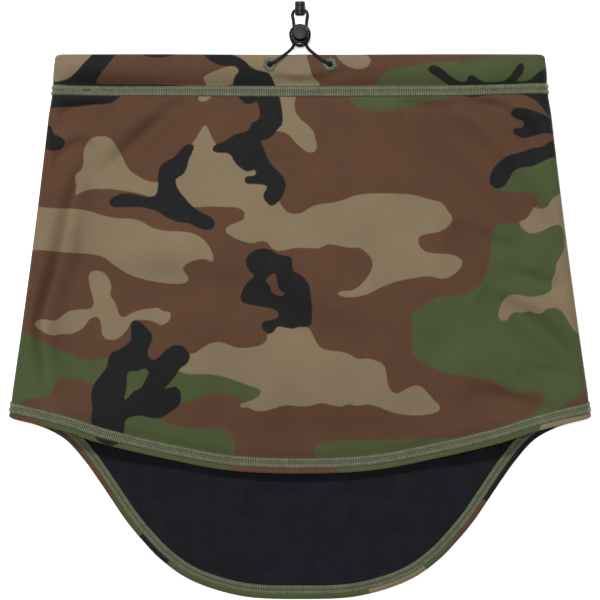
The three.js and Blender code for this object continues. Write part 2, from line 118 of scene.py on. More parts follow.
# ---- The print: closed outlines on the laid-out cloth, each colour over the one before ---------------------
PRINT_REACH = 3.0  # distances to an outline are kept up to this
GREEN = [
    [(-158, 0), (-148, -1.3), (-142, -3.5), (-137, -7), (-131, -9.5), (-125, -12), (-119, -14.3),
     (-112, -16.7), (-105, -16.7), (-98, -15), (-85, -16), (-70, -20), (-60, -22), (-50, -22), (-38, -24),
     (-28, -28), (-19, -33), (-20, -35.5), (-25, -38.3), (-30, -38), (-34, -36), (-40, -34.7), (-47, -35),
     (-54, -37.5), (-62, -39.5), (-80, -40), (-92, -40), (-100, -34), (-108, -29.5), (-114, -27.7),
     (-121, -26.5), (-127, -28), (-129.5, -31.5), (-131, -35), (-136, -36.8), (-143, -37.5), (-146, -40),
     (-150, -42), (-158, -42)],
    [(-96, -44), (-88, -45), (-80, -46.5), (-73, -48.3), (-67, -51), (-60, -52.3), (-50, -52.7),
     (-44, -52.3), (-39.5, -53.3), (-36, -56.5), (-34.5, -61), (-34.5, -67), (-37, -72), (-42, -80),
     (-100, -80), (-112, -56), (-100, -48)],
    [(-134, -47.5), (-125, -47.5), (-115, -49.5), (-106, -52), (-100, -58), (-120, -60), (-134, -54)],
    [(7.5, -64), (9, -62), (13, -60.8), (19, -59.5), (30, -59.3), (45, -58.8), (60, -58.5), (75, -58.2),
     (88, -58.3), (95, -57.3), (100, -55.5), (106, -53.5), (112, -51), (118, -49), (126, -52), (126, -62),
     (90, -78), (22, -82), (20, -74), (12, -70), (8, -67)],
    [(100.3, 48), (101.5, 52), (105, 54.3), (110, 54.5), (117, 55), (130, 58), (150, 62), (160, 20),
     (158, -30), (151, -32.7), (146, -35.5), (141, -38.5), (137, -41.5), (135, -46), (133, -54),
     (117, -54), (116, -50), (119.5, -47.7), (123, -44.8), (126.3, -41), (127.7, -37.5), (126, -34.8),
     (121, -34), (115, -34.3), (110, -33.3), (104, -30), (97, -27.2), (89, -26), (82, -25), (76, -23.8),
     (70, -21.3), (64.5, -18.5), (60, -15.5), (58, -11.5), (58, -4), (57.7, 3), (58.5, 8), (63, 10.8),
     (67, 13.5), (71, 15.7), (78, 16.3), (85, 17.3), (90, 19.3), (94, 22.5), (96.7, 27.5), (98.3, 32),
     (99.7, 38), (100, 43)],
    [(100, 74), (103, 72.3), (108, 71.3), (115, 71), (121, 70.8), (124, 69.3), (124.5, 66), (124.7, 63.5),
     (127.5, 62.3), (130, 63.5), (132, 67), (136, 70), (148, 72), (146, 92), (134, 90), (126, 88),
     (115, 86), (108, 82), (104, 78)],
    [(25, 123), (27, 118.5), (30, 116), (35, 114), (41, 113.3), (48, 113.8), (56, 115.5), (64, 118),
     (72, 119.3), (78, 121), (82, 124), (88, 130), (100, 127), (130, 127), (138, 128), (138, 149),
     (104, 149), (103, 143), (95, 141.5), (85, 140), (75, 139.3), (67, 138.5), (60, 136.8), (52, 136),
     (46, 134.5), (42.5, 131.5), (40, 127.5), (34, 125)],
]
TAN = [
    [(-138, 150), (-104, 150), (-108, 144), (-112, 139.5), (-117, 134), (-122, 130.4), (-128, 129),
     (-138, 129)],
    [(-118, 69.3), (-116, 70.5), (-112, 72), (-105, 72.7), (-97, 72.3), (-90, 71.3), (-84, 70.2),
     (-78, 68.5), (-75, 69), (-73, 72), (-73, 76), (-76, 76), (-80, 77), (-84, 79), (-88, 81.5),
     (-91, 85), (-93, 89), (-95.5, 94), (-98, 98), (-101, 100), (-105, 100.3), (-109, 99), (-112, 96),
     (-113.5, 92), (-113.5, 87), (-114.5, 83), (-117.5, 80.5), (-118, 78), (-117.5, 74)],
    [(-57, 95), (-54, 99.5), (-51.5, 104), (-49.5, 106), (-47.5, 103), (-45.5, 98.5), (-43, 95),
     (-38, 92), (-30, 88), (-20, 80), (-14, 72), (-11, 66), (-9, 63), (-6.5, 60.3), (-3, 59.3), (1, 60),
     (5, 62.5), (8, 64), (15, 65), (22, 66.5), (29, 69), (36, 70), (50, 70), (58, 69.5), (66, 67.5),
     (74, 65), (77, 61), (79.3, 57), (77, 53), (72, 50), (66, 49), (62, 47.5), (61.7, 44), (64, 40.5),
     (68, 39), (75, 38.5), (81, 37.5), (84.5, 34.5), (83, 30.5), (78, 26.5), (74, 25.5), (67, 26.8),
     (60, 26), (52, 24.5), (46, 22.7), (40, 20), (35, 17.5), (29, 16), (23, 16), (19.3, 17.5), (21, 19),
     (27, 19.5), (31, 22), (35, 26.5), (37.5, 31.5), (37, 36), (34, 39.5), (31, 41.5), (25, 41.7),
     (19, 43), (14, 43.3), (10, 41.5), (4, 41.5), (-3, 41.5), (-10, 40), (-14, 41), (-17, 44.5),
     (-20.5, 45), (-25, 44), (-31, 45.5), (-36, 48), (-38.5, 50.5), (-37, 53), (-32, 55), (-29, 57),
     (-29, 60.5), (-32, 62.5), (-38, 63), (-47, 63.2), (-57, 63.2), (-62, 66), (-64, 70), (-66, 76),
     (-62, 80), (-59, 86), (-57, 91)],
    [(-38, 149), (3.5, 149), (3.5, 142), (5, 137), (6, 133), (8, 130), (10.5, 127.5), (5, 124.5),
     (-1, 122.5), (-2.6, 119), (-2.3, 113), (0, 109.3), (4, 106), (7, 102.5), (8, 98.5), (8.8, 94.5),
     (7.5, 92), (4, 91.8), (1, 93.8), (-2, 96.5), (-5.5, 100.5), (-8.5, 102.3), (-12, 102.8), (-16, 106),
     (-18, 115), (-18, 128), (-22, 132), (-30, 137), (-37, 142)],
    [(-50.5, 131), (-48, 132.8), (-43, 134.8), (-37, 136.8), (-31, 137.5), (-30, 132), (-35, 128),
     (-40, 126.5), (-44, 124), (-46, 121.5), (-49.5, 118.7), (-53, 119), (-53, 121.5), (-50, 123.5),
     (-49, 127)],
    [(19.5, 141.5), (22, 138.7), (26, 136.3), (31, 135.3), (35, 136.5), (37, 139.5), (36, 142),
     (33, 143.5), (33, 148), (19, 148)],
    [(-150, 62), (-128, 62.5), (-118, 62.3), (-110, 61), (-102, 58.5), (-95, 57.2), (-87, 56.8),
     (-82, 55.3), (-77, 52.3), (-71, 50.7), (-63, 50.2), (-56, 49.3), (-50.5, 46.5), (-46.5, 41.5),
     (-44.7, 36.5), (-45, 34.2), (-49, 35.6), (-54, 35.2), (-59, 33), (-60.7, 30.5), (-58.7, 27.5),
     (-57.8, 25), (-60, 23.2), (-68, 23), (-77, 24.3), (-86, 26.7), (-92, 29.5), (-97, 33), (-102, 36.7),
     (-109, 38.5), (-118, 39), (-128, 39.8), (-137, 40.7), (-150, 40.5)],
    [(-139, 1), (-138, 3.8), (-133, 4), (-128, 3.7), (-124, 6.5), (-120, 8.7), (-114, 9.5), (-109, 10),
     (-107.5, 12.5), (-108.3, 17), (-109.5, 22), (-110, 27), (-108.5, 29.3), (-105, 29.7), (-102, 28.5),
     (-99.5, 25.5), (-98.3, 21), (-98.8, 17), (-96.5, 13.5), (-95, 9.5), (-93.5, 6), (-91, 5.5),
     (-88, 7.3), (-83.5, 9), (-78, 10), (-73.5, 10.2), (-71, 8.5), (-67.5, 8), (-67.3, 5), (-70, 2),
     (-72.5, 1.3), (-75, 2.5), (-78.5, 3.8), (-83, 4), (-87, 3.5), (-89, 0.5), (-91, -2.5), (-94.5, -5.5),
     (-97.5, -6.5), (-101, -6), (-103, -3.5), (-103.5, 1), (-104.5, 4.5), (-106.5, 5.7), (-110, 4),
     (-112, 1), (-115, -1.5), (-119, -3.2), (-125, -3.5), (-130, -4.2), (-134, -3)],
    [(-60, -14.5), (-55, -13.5), (-51.5, -11), (-47, -8.5), (-42, -7.5), (-37, -9), (-33, -10.5),
     (-27, -10.5), (-21.5, -9.5), (-18.5, -8), (-17, -6), (-17.5, -4), (-14, -2.5), (-12, 0.3), (-8, 0.5),
     (-4, -0.5), (0, 0.3), (4, 0), (6.5, -3.5), (9, -8.5), (11.5, -10.8), (16, -12), (22, -12.8),
     (26.5, -14.3), (29.5, -16.3), (35, -16.2), (40, -17.5), (43.5, -19.5), (45, -24), (45.7, -29),
     (47.5, -33), (51, -34.5), (54, -33), (58, -31), (61, -30.3), (64, -31.5), (66.5, -34), (70, -38),
     (73, -41), (73, -43.5), (70, -45), (64, -46), (57, -46), (50, -45), (45, -43.2), (40, -41.3),
     (35, -40.3), (30, -41), (25, -40.2), (22, -41.3), (17, -40.8), (11, -39.5), (6, -40.8), (0, -41.3),
     (-5, -40.7), (-9, -41), (-14, -42.5), (-19, -43.8), (-24, -43.5), (-27, -42), (-31, -41.7),
     (-31.5, -40.3), (-28, -39), (-24, -37.5), (-20.5, -34.5), (-21, -32.5), (-26, -30.5), (-33, -28),
     (-40, -25.7), (-47, -24.5), (-55, -24.3), (-60, -24), (-65, -21)],
    [(115, 55.3), (118.5, 57), (121, 59.8), (123, 63.3), (126, 62.3), (129, 63.2), (131.5, 67),
     (135, 69.5), (150, 71), (162, 30), (162, -6), (147, -3.5), (143.5, -1.8), (141, 1.5), (138.5, 5.8),
     (135.5, 9.3), (131.5, 10.3), (128.5, 9.5), (126, 7.5), (123.5, 7.3), (120, 8.5), (116.5, 7.7),
     (113, 8), (110.7, 7), (109, 4.3), (105.8, 3.6), (103.7, 5.3), (104.3, 9.5), (106.5, 14),
     (109.5, 16.8), (113.5, 17.2), (118.5, 16.2), (123.5, 16.3), (128.5, 17.7), (131.7, 20), (131.8, 25),
     (133.2, 28.5), (133.7, 33), (136, 37), (138.3, 41), (139, 46.5), (138, 51.5), (135.5, 54),
     (131.5, 53), (126.5, 50.5), (121, 49.5), (117.3, 51.3)],
    [(126, -50.5), (133, -48.5), (143, -46), (162, -42.5), (162, -52), (140, -54), (126, -56)],
]
BLACK = [
    [(-104, 150), (-108, 144), (-112, 139.5), (-117, 134), (-122, 130.4), (-128, 129), (-140, 128.5),
     (-140, 116), (-126, 115.7), (-117, 116.2), (-108, 117.2), (-101, 117.4), (-97, 119), (-93, 123),
     (-98, 126), (-107, 128.5), (-105, 132), (-101, 137), (-97, 142.5), (-93, 150)],
    [(-82, 143), (-78, 141.7), (-72, 141.5), (-67, 142.5), (-64, 144), (-68, 148), (-80, 148)],
    [(-132, 106), (-129, 102), (-125, 99.7), (-123, 97.5), (-125, 94), (-129, 92.7), (-133, 93.5),
     (-141, 97), (-141, 104)],
    [(-59, 96), (-55.5, 95.5), (-56, 92), (-58, 88), (-59, 83.5), (-61, 80), (-64.5, 78), (-64.5, 75),
     (-62.5, 71), (-60, 68), (-56, 63.5), (-51, 60), (-46, 57.5), (-44, 54), (-45.5, 51.5), (-49.5, 51),
     (-53.5, 52.5), (-58, 54.5), (-63, 55), (-68, 57), (-74, 60.5), (-80, 62.5), (-86, 63), (-92, 63),
     (-97, 63), (-99.5, 65.5), (-97, 68.5), (-93, 70), (-88, 70), (-83, 69), (-78, 68.3), (-75, 69.5),
     (-74, 73), (-74, 79), (-73, 84), (-70, 87), (-66, 89), (-63, 92.5)],
    [(-54, 148), (-51, 143.6), (-49, 141.5), (-46, 139.2), (-42.5, 137.5), (-38.5, 136.8), (-34, 136.6),
     (-32, 134.5), (-34, 131.5), (-35, 128), (-33, 122), (-31, 119.5), (-28, 117.2), (-25, 117.5),
     (-23, 118.5), (-21.5, 115), (-21, 110.5), (-23, 108), (-25.5, 107), (-26, 104.5), (-29, 102.5),
     (-34, 101), (-38, 98.5), (-41, 96.8), (-45, 95), (-45.5, 92.5), (-43, 91.5), (-38, 91.2), (-36, 90),
     (-34, 86.5), (-31, 83.5), (-28, 81.7), (-25, 82), (-23.5, 82.5), (-23, 80), (-25, 79.2), (-28, 79),
     (-29, 77), (-27.5, 75.2), (-24, 75), (-20, 74.7), (-17.5, 74), (-17.3, 72.5), (-19, 70), (-18.5, 67),
     (-16.5, 64.5), (-14.5, 63.5), (-12, 65), (-9.5, 68), (-8, 71.5), (-7.3, 75), (-9, 79), (-12, 82.5),
     (-15.5, 86), (-17.5, 90), (-19, 94), (-20.5, 97.5), (-17, 98.5), (-14, 100.5), (-12, 103.5),
     (-9.5, 106), (-9, 110), (-9.7, 116), (-11, 122), (-13, 127), (-14.5, 130.5), (-16.2, 133.1),
     (-19.5, 134.2), (-23, 135), (-26, 136.8), (-28.8, 139.5), (-32.4, 141.8), (-37, 143.6), (-41, 148)],
    [(-28, 34.5), (-26.5, 38), (-23, 40.5), (-19, 41.3), (-15, 40.5), (-12, 38.7), (-8, 37.5),
     (-4.5, 36.5), (-4, 33.5), (-3.3, 29.5), (-0.5, 28), (2.5, 25.5), (4.8, 22), (5.5, 17), (6.2, 11),
     (6.2, 5), (5.5, 1), (2, 0.3), (-1, 0.3), (-4, -0.5), (-8, 0), (-12, 0.5), (-13.5, -2), (-15.5, -3.2),
     (-18, -2.5), (-20, 0.5), (-19, 3), (-15.5, 4), (-12, 5), (-11, 6.5), (-12.5, 9), (-16, 10.3),
     (-21, 11), (-26, 12), (-29.5, 13), (-31, 15.5), (-29.5, 20), (-27, 24), (-23.5, 27), (-26, 29.5)],
    [(-87.5, 3), (-85, 3.7), (-82, 2), (-79, -1), (-76.8, -4), (-77.5, -8), (-79, -11), (-79, -15),
     (-76.5, -17), (-72.5, -14.5), (-69, -11), (-65.5, -9.3), (-61.5, -9.5), (-58.3, -12.5),
     (-57.3, -15.5), (-59, -19), (-62.5, -21.5), (-64, -24), (-67, -28), (-70, -31), (-71, -32.5),
     (-68, -31.5), (-65, -31), (-62.8, -33), (-62.2, -37), (-63.5, -41), (-68, -44.5), (-73, -47.3),
     (-78, -47.5), (-82, -46.5), (-87, -46.5), (-91.5, -49), (-92, -53), (-94, -60), (-100, -62),
     (-107, -58), (-109, -50), (-108.5, -42), (-109, -35), (-107, -29), (-103.5, -24.5), (-100.5, -20),
     (-100, -16.5), (-98, -13), (-94, -11.5), (-90.5, -9), (-88, -6.5), (-88, -1)],
    [(66.8, 135.5), (68.5, 137.2), (71.5, 137), (75, 134.8), (79, 131.5), (84, 129), (87, 129),
     (88.3, 132), (90.5, 132.2), (94, 130), (97, 128.8), (103, 129), (107, 129.5), (110.5, 132.5),
     (113.5, 137), (116, 138.8), (117.2, 137), (116.2, 132.5), (113.5, 129.5), (118, 129.3), (121, 130.5),
     (125, 134), (129, 136), (140, 137.5), (140, 110), (130, 112), (127, 115.5), (122, 120), (117, 122),
     (110, 122.6), (100, 122.5), (95, 121.5), (90, 121), (86, 121.5), (82, 124.5), (76, 128.5),
     (71, 131.5), (68, 133.5)],
    [(111, 113.5), (113, 115.3), (117, 115.2), (122, 113.8), (127, 112), (131, 110), (142, 109),
     (142, 100), (132, 101.5), (128, 102), (124, 101), (120, 99.8), (117, 99.5), (113.5, 101),
     (111.5, 103), (113, 104.8), (115.5, 104.8), (117.5, 106), (117, 108.5), (114, 109.5), (111, 111.5)],
    [(142, 98.5), (133, 98), (130, 97), (127, 95), (122, 94.3), (116, 92), (110, 90.5), (106, 88),
     (102, 84), (100, 80), (99.7, 76), (101.5, 73.5), (104.5, 73), (108, 75), (110.5, 79), (112.5, 82.5),
     (116, 84), (121, 84.5), (127, 87), (131, 89), (142, 91)],
]
BLACK_HOLES = [
    [(-17.8, 24.5), (-15.5, 27), (-13, 28.5), (-12, 25), (-11, 20.5), (-8, 17.5), (-8.5, 16.5), (-12, 17),
     (-14.5, 18.5), (-15.5, 21.5)],
    [(-89.5, -23.3), (-85, -22.8), (-80.5, -21.5), (-79, -23.5), (-81, -28), (-83, -31.5), (-87, -33.5),
     (-90, -37), (-91.5, -38), (-91.8, -36.5), (-90.5, -32), (-90.3, -28)],
]
BACK_PRINT = {
    "green": [
        [(-100, -88), (-84, -100), (-78, -110), (-86, -116), (-104, -98)],
        [(-76, -110), (-40, -124), (0, -130), (40, -128), (41, -152), (0, -158), (-60, -152), (-90, -122)],
        [(64, -114), (76, -110), (88, -122), (70, -142), (60, -132)],
        [(-160, 40), (-110, 30), (-70, 50), (-60, 90), (-100, 110), (-160, 100)],
        [(20, -30), (80, -40), (120, 0), (90, 40), (30, 30)],
    ],
    "tan": [
        [(-126, -44), (-112, -56), (-98, -74), (-104, -80), (-122, -60), (-140, -52), (-160, -50),
         (-160, -40)],
        [(40, -128), (52, -126), (63, -124), (72, -140), (60, -154), (40, -154)],
        [(126, -40), (160, -38), (160, -52), (130, -56)],
        [(-60, -60), (-10, -80), (40, -70), (60, -90), (20, -110), (-40, -100)],
        [(60, 80), (120, 70), (140, 110), (90, 130), (50, 110)],
    ],
    "black": [
        [(-82, -108), (-74, -112), (-68, -118), (-74, -128), (-88, -116)],
        [(124, -52), (112, -60), (102, -74), (96, -84), (102, -94), (118, -74), (134, -60), (134, -52)],
        [(-40, 20), (0, 40), (10, 80), (-20, 100), (-30, 60), (-60, 40)],
    ],
}

# Soft folds: the line that each follows, its half widths to the left and right of that line, and its height.
# The first set is in the front's body and the second in its neck band.
BODY_FOLDS = [
    ([(-111, 98), (-113, 88), (-118, 70), (-122, 54), (-127, 32), (-132, 16), (-135.5, 2), (-133.5, -16),
      (-129, -46)], 9, 4.8, -8.4),
    ([(-132, 76), (-126, 90), (-110, 100)], 3.4, 6, -3.8),
    ([(-58, 121), (-84, 98), (-108, 75)], 10, 5.6, -5.6),
    ([(-98, 119), (-120, 114), (-137, 108)], 8, 4, -4.6),
    ([(50, 124), (72, 110), (90, 96), (105, 80), (123, 56), (139, 36)], 9.5, 16, -6.6),
    ([(82, 125), (106, 113), (120, 102), (129, 86)], 5, 8, -5.0),
    ([(80, 54), (100, 44), (122, 36)], 6, 10, -4.0),
    ([(94, 32), (118, 26), (140, 19)], 4.6, 7, -3.8),
    ([(94, 19), (118, 5), (145, -19)], 6, 10, -5.8),
    ([(88, -32), (112, -39), (132, -43)], 5, 8, -3.4),
    ([(114, -20), (130, -24), (147, -26)], 4, 7, -2.2),
    ([(-118, 42), (-32, 35), (25, 11), (80, 0)], 26, 11, 4.8),
    ([(-44, -44), (0, -42), (60, -44)], 18, 9, 1.6),
    ([(-100, 2), (-60, 8), (-30, -6)], 10, 10, 1.2),
    ([(10, 92), (30, 76), (40, 60)], 14, 14, 1.6),
    ([(-24, 114), (-30, 96), (-44, 84)], 9, 9, 1.2),
    ([(58, -30), (92, -18)], 10, 10, 1.4),
    ([(30, 116), (40, 104), (42, 92)], 6, 6, 1.0),
    ([(8, 117), (9, 106), (6, 96)], 5, 5, 0.9),
    ([(-45, 116), (-49, 106)], 4, 4, -0.8),
    ([(52, 117), (58, 106)], 4, 4, -0.9),
    ([(-84, 116), (-94, 108)], 3.5, 5, -1.2),
]
NECK_FOLDS = [
    ([(-31, 141), (-20, 132), (-8, 129.5), (8, 129.5), (20, 132), (31, 141)], 2.2, 2.2, -1.0),
    ([(-13, 136), (-6, 133), (6, 133), (13, 136)], 2.2, 2.2, 1.0),
    ([(-15, 132), (-17, 127)], 1.6, 1.6, 0.6),
    ([(16, 132), (18, 127)], 1.6, 1.6, 0.6),
    ([(-122, 142), (-104, 134)], 3, 4, 1.2),
    ([(-137, 128), (-110, 127), (-58, 126)], 4.5, 6, -2.6),
    ([(-78, 140), (-66, 130)], 4, 4, -0.7),
    ([(60, 141), (74, 131)], 4, 4, 0.7),
    ([(84, 140), (98, 132)], 4, 4, -0.8),
    ([(104, 132), (122, 139)], 4, 4, -0.8),
]


# ---- Number work ------------------------------------------------------------------------------------------
def smoothstep(x, low, high):
    t = np.clip((x - low) / (high - low), 0, 1)
    return t * t * (3 - 2 * t)


def catmull(points, per_segment, closed=False):
    """Points along a centripetal Catmull-Rom curve through points."""
    p = np.array(points, float)
    if closed:
        p = np.vstack([p[-1], p, p[0], p[1]])
    else:
        p = np.vstack([2 * p[0] - p[1], p, 2 * p[-1] - p[-2]])
    pieces = []
    for a, b, c, d in zip(p[:-3], p[1:-2], p[2:-1], p[3:]):
        t0 = 0
        t1 = t0 + max(np.linalg.norm(b - a), 1e-6) ** 0.5
        t2 = t1 + max(np.linalg.norm(c - b), 1e-6) ** 0.5
        t3 = t2 + max(np.linalg.norm(d - c), 1e-6) ** 0.5
        t = np.linspace(t1, t2, per_segment, endpoint=False)[:, None]
        ab = (t1 - t) / (t1 - t0) * a + (t - t0) / (t1 - t0) * b
        bc = (t2 - t) / (t2 - t1) * b + (t - t1) / (t2 - t1) * c
        cd = (t3 - t) / (t3 - t2) * c + (t - t2) / (t3 - t2) * d
        abc = (t2 - t) / (t2 - t0) * ab + (t - t0) / (t2 - t0) * bc
        bcd = (t3 - t) / (t3 - t1) * bc + (t - t1) / (t3 - t1) * cd
        pieces.append((t2 - t) / (t2 - t1) * abc + (t - t1) / (t2 - t1) * bcd)
    if not closed:
        pieces.append(p[-2:-1])
    return np.vstack(pieces)


def distance_along(points):
    return np.concatenate([[0], np.cumsum(np.linalg.norm(np.diff(points, axis=0), axis=1))])


def resample(points, spacing):
    """The same polyline with evenly spaced points."""
    along = distance_along(points)
    count = max(int(round(along[-1] / spacing)), 2)
    at = np.linspace(0, along[-1], count + 1)
    return np.stack([np.interp(at, along, points[:, k]) for k in range(points.shape[1])], axis=1)


def polyline_length(points):
    return float(np.linalg.norm(np.diff(points, axis=0), axis=1).sum())


def in_box(points, margin, x, y):
    """Which of the places x, y are in the box round some points, with a margin."""
    low, high = points.min(0) - margin, points.max(0) + margin
    return (x > low[0]) & (x < high[0]) & (y > low[1]) & (y < high[1])


def signed_distance(outline, x, y):
    """Distance to a closed outline, negative inside it."""
    ring = catmull(outline, 4, closed=True)
    result = np.full(x.shape, PRINT_REACH)
    near = in_box(ring, PRINT_REACH, x, y)
    px, py = x[near], y[near]
    nearest = np.full(px.shape, PRINT_REACH**2)
    inside = np.zeros(px.shape, bool)
    for (ax, ay), (bx, by) in zip(ring, np.roll(ring, -1, axis=0)):
        ex, ey = bx - ax, by - ay
        t = np.clip(((px - ax) * ex + (py - ay) * ey) / max(ex * ex + ey * ey, 1e-9), 0, 1)
        nearest = np.minimum(nearest, (px - ax - t * ex) ** 2 + (py - ay - t * ey) ** 2)
        if ay != by:
            inside ^= ((ay > py) != (by > py)) & (px < (py - ay) * ex / ey + ax)
    result[near] = np.where(inside, -1, 1) * np.sqrt(nearest)
    return result


def union_distance(outlines, x, y, holes=()):
    """Distance to a set of outlines with holes cut out of them."""
    result = np.full(x.shape, PRINT_REACH)
    for outline in outlines:
        result = np.minimum(result, signed_distance(outline, x, y))
    for hole in holes:
        result = np.maximum(result, -signed_distance(hole, x, y))
    return result


# ---- The tube that the cloth follows ----------------------------------------------------------------------
def half_width(y):
    """Half the laid-out width of the tube."""
    down = np.clip((NECK_Y - y) / (NECK_Y - CORNER_Y), 0, 1)
    return NECK_HALF_WIDTH + (HEM_HALF_WIDTH - NECK_HALF_WIDTH - SIDE_BOW) * down + SIDE_BOW * down**2


def rise(y):
    """How far the middle of the front arches above the side folds."""
    share = 1 - smoothstep(y, NECK_Y - FLAT_NECK - NECK_BLEND, NECK_Y - FLAT_NECK)
    return NECK_RISE + (BODY_RISE - NECK_RISE) * share


def cloth_half(panel, y):
    """The arc length from the middle of a panel to its side seam."""
    flat = half_width(y) - FOLD_RADIUS
    lean = np.arctan(2 * rise(y) / flat) if panel == "front" else 0
    return flat + FOLD_RADIUS * (np.pi / 2 - lean)


def on_tube(panel, across, y, depth):
    """The point at an arc length across a panel, some depth below its outer face."""
    flat = half_width(y) - FOLD_RADIUS
    arch = rise(y) if panel == "front" else 0 * y
    side = np.where(across < 0, -1.0, 1.0)
    run = np.abs(across)
    share = np.minimum(run / flat, 1)
    round_fold = np.arctan(2 * arch / flat) + (run - flat) / FOLD_RADIUS
    lean = np.where(run < flat, np.arctan(2 * arch * share / flat), round_fold)
    outward = FOLD_RADIUS - depth
    up = 1 if panel == "front" else -1
    x = side * (share * flat + outward * np.sin(lean))
    z = FOLD_RADIUS + arch * (1 - share**2) + up * outward * np.cos(lean)
    return np.stack([x, y, z], axis=-1)


def hem_line(panel):
    points = [(u * HEM_HALF_WIDTH, y) for u, y in HEMS[panel]]
    return catmull([(-x, y) for x, y in reversed(points[1:])] + points, 24)


HEM_LINES = {panel: hem_line(panel) for panel in HEMS}


def hem_height(panel, u):
    """The height of a hem at a share of the half width."""
    line = HEM_LINES[panel]
    return np.interp(u * HEM_HALF_WIDTH, line[:, 0], line[:, 1])


def hem_place(panel, s):
    """Where on the hem a column starts: even along the hem between the side folds."""
    limit = 0.9
    u = np.linspace(-limit, limit, 400)
    along = distance_along(np.stack([u * HEM_HALF_WIDTH, hem_height(panel, u)], axis=1))
    even = np.interp((np.clip(s, -limit, limit) / limit + 1) / 2 * along[-1], along, u)
    return np.where(np.abs(s) < limit, even, s)


def place(panel, s, zone, value):
    """The arc length across and the height of a point in column s. The value is the distance from the hem in
    the hem zone, the share of the body in the body, and the distance from the neck edge in the neck zone."""
    sag_width = 55
    hem_u = hem_place(panel, s)
    step = 0.004  # rows leave the hem square on, except beside the side seams
    drop = hem_height(panel, hem_u + step) - hem_height(panel, hem_u - step)
    slope = drop / (2 * step * HEM_HALF_WIDTH)
    lean = -slope * (1 - smoothstep(np.abs(hem_u), 0.86, 0.94))
    size = np.sqrt(1 + lean**2)
    hem_y = hem_height(panel, hem_u)
    width = cloth_half(panel, hem_y)

    def start(d):
        return hem_u + lean / size * d / width, hem_y + d / size

    if zone == "hem":
        u, y = start(value)
    else:
        zone_u, zone_y = start(HEM_ZONE)
        if zone == "neck":
            sag = NECK_SAG * np.exp(-((s * NECK_HALF_WIDTH / sag_width) ** 2)) if panel == "front" else 0 * s
            y = NECK_Y - value - sag
        else:
            y = zone_y + 1 + (NECK_Y - FLAT_NECK - zone_y - 1) * value
        t = np.clip((y - zone_y) / (NECK_Y - zone_y), 0, 1)
        u = zone_u + (s - zone_u) * (1 - (1 - t) ** 2)
    return u * cloth_half(panel, y), y


# ---- Surface relief ---------------------------------------------------------------------------------------
def fold_height(folds, x, y):
    """The height of a set of folds, each fading out at both its ends."""
    height = np.zeros_like(x)
    for line, left, right, size in folds:
        line = resample(catmull(line, 6), 5)
        near = in_box(line, 2.6 * max(left, right), x, y)
        px, py = x[near], y[near]
        nearest = np.full(px.shape, 1e9)
        fade, width = np.zeros_like(px), np.full(px.shape, float(left))
        for k, (a, b) in enumerate(zip(line[:-1], line[1:])):
            ex, ey = b - a
            t = np.clip(((px - a[0]) * ex + (py - a[1]) * ey) / (ex * ex + ey * ey), 0, 1)
            gap = (px - a[0] - t * ex) ** 2 + (py - a[1] - t * ey) ** 2
            closer = gap < nearest
            nearest = np.where(closer, gap, nearest)
            on_left = ex * (py - a[1]) > ey * (px - a[0])
            width = np.where(closer, np.where(on_left, left, right), width)
            share = np.clip((k + t) / (len(line) - 1), 0, 1)
            fade = np.where(closer, np.sin(np.pi * share) ** 0.7, fade)
        height[near] += size * fade * np.exp(-nearest / width**2)
    return height


def stitch_line(x):
    """How far below the neck edge the neck stitching runs: it lifts a little towards the sides."""
    return NECK_STITCH - 1.2 * smoothstep(x, 70, 128) - 0.5 * smoothstep(-x, 95, 128)


def puckers(along, distance, seed):
    """Small gathers that fade away from a line of stitching."""
    slow = 0.6 + 0.4 * np.sin(along / 17 + seed)
    waves = np.sin(along / 1.1 + seed)
    waves += 0.8 * np.sin(along / 1.9 + 1.7 * seed)
    waves += 0.7 * np.sin(along / 3.1 + 2.9 * seed)
    return 0.09 * slow * waves * np.exp(-np.maximum(distance, 0) / 5)


def stitch_dip(distance, depth, before, after):
    """How far a line of stitching pulls the cloth in, at a distance from its middle. On the negative side the
    cloth bulges straight up, within the length before; on the other it recovers gently, within after."""
    beside = np.abs(distance) - HALF_STITCH
    bulge = (1 - np.clip(beside / before, 0, 1)) ** 2
    return depth * np.where(distance < 0, bulge, 1 - smoothstep(beside, -0.5, after))


def relief(panel, across, y, hem_gap, neck_gap):
    """How far the outer face lies below the plain tube."""
    neck_off = neck_gap - stitch_line(across)
    seam = cloth_half(panel, y) - np.abs(across)
    snug = 0.2 + 0.8 * smoothstep(seam, 3, 22) if panel == "front" else 0.3
    dip = (stitch_dip(hem_gap - HEM_STITCH, 0.9, 2.2, 5) + stitch_dip(neck_off, 2.9, 7, 12)) * snug
    dip += 0.35 * np.exp(-((seam / 1.3) ** 2))
    if panel == "back":
        return dip - 0.12
    dip += HEM_DROOP * smoothstep(-y, 5, 80) * (1 - smoothstep(np.abs(across), 45, 138))
    calm = smoothstep(seam, 1, 14)
    body = smoothstep(neck_off, 2.5, 9) * smoothstep(hem_gap, HEM_STITCH, HEM_STITCH + 6)
    band = smoothstep(neck_gap, 1, 5) * (1 - smoothstep(neck_off, -HALF_STITCH, -1.2))
    swell = fold_height(BODY_FOLDS, across, y) * body + fold_height(NECK_FOLDS, across, y) * band
    below = puckers(across, neck_off - HALF_STITCH, 0.4) * (neck_off > 0)
    above = puckers(across, -HALF_STITCH - neck_off, 2.1) * (neck_off <= 0) * smoothstep(neck_gap, 0, 6)
    hem = puckers(across, np.abs(hem_gap - HEM_STITCH) - HALF_STITCH, 3.3) * smoothstep(hem_gap, 0, 2)
    casing = 0.8 * np.exp(-(((neck_gap - 6.8) / 3.6) ** 2))
    edge = 0.16 * np.sin(across / 9.5) * np.sin(across / 23 + 1) * (1 - smoothstep(neck_gap, 2, 10))
    return dip - calm * (swell + 1.5 * below + above + 0.8 * hem + casing + edge)


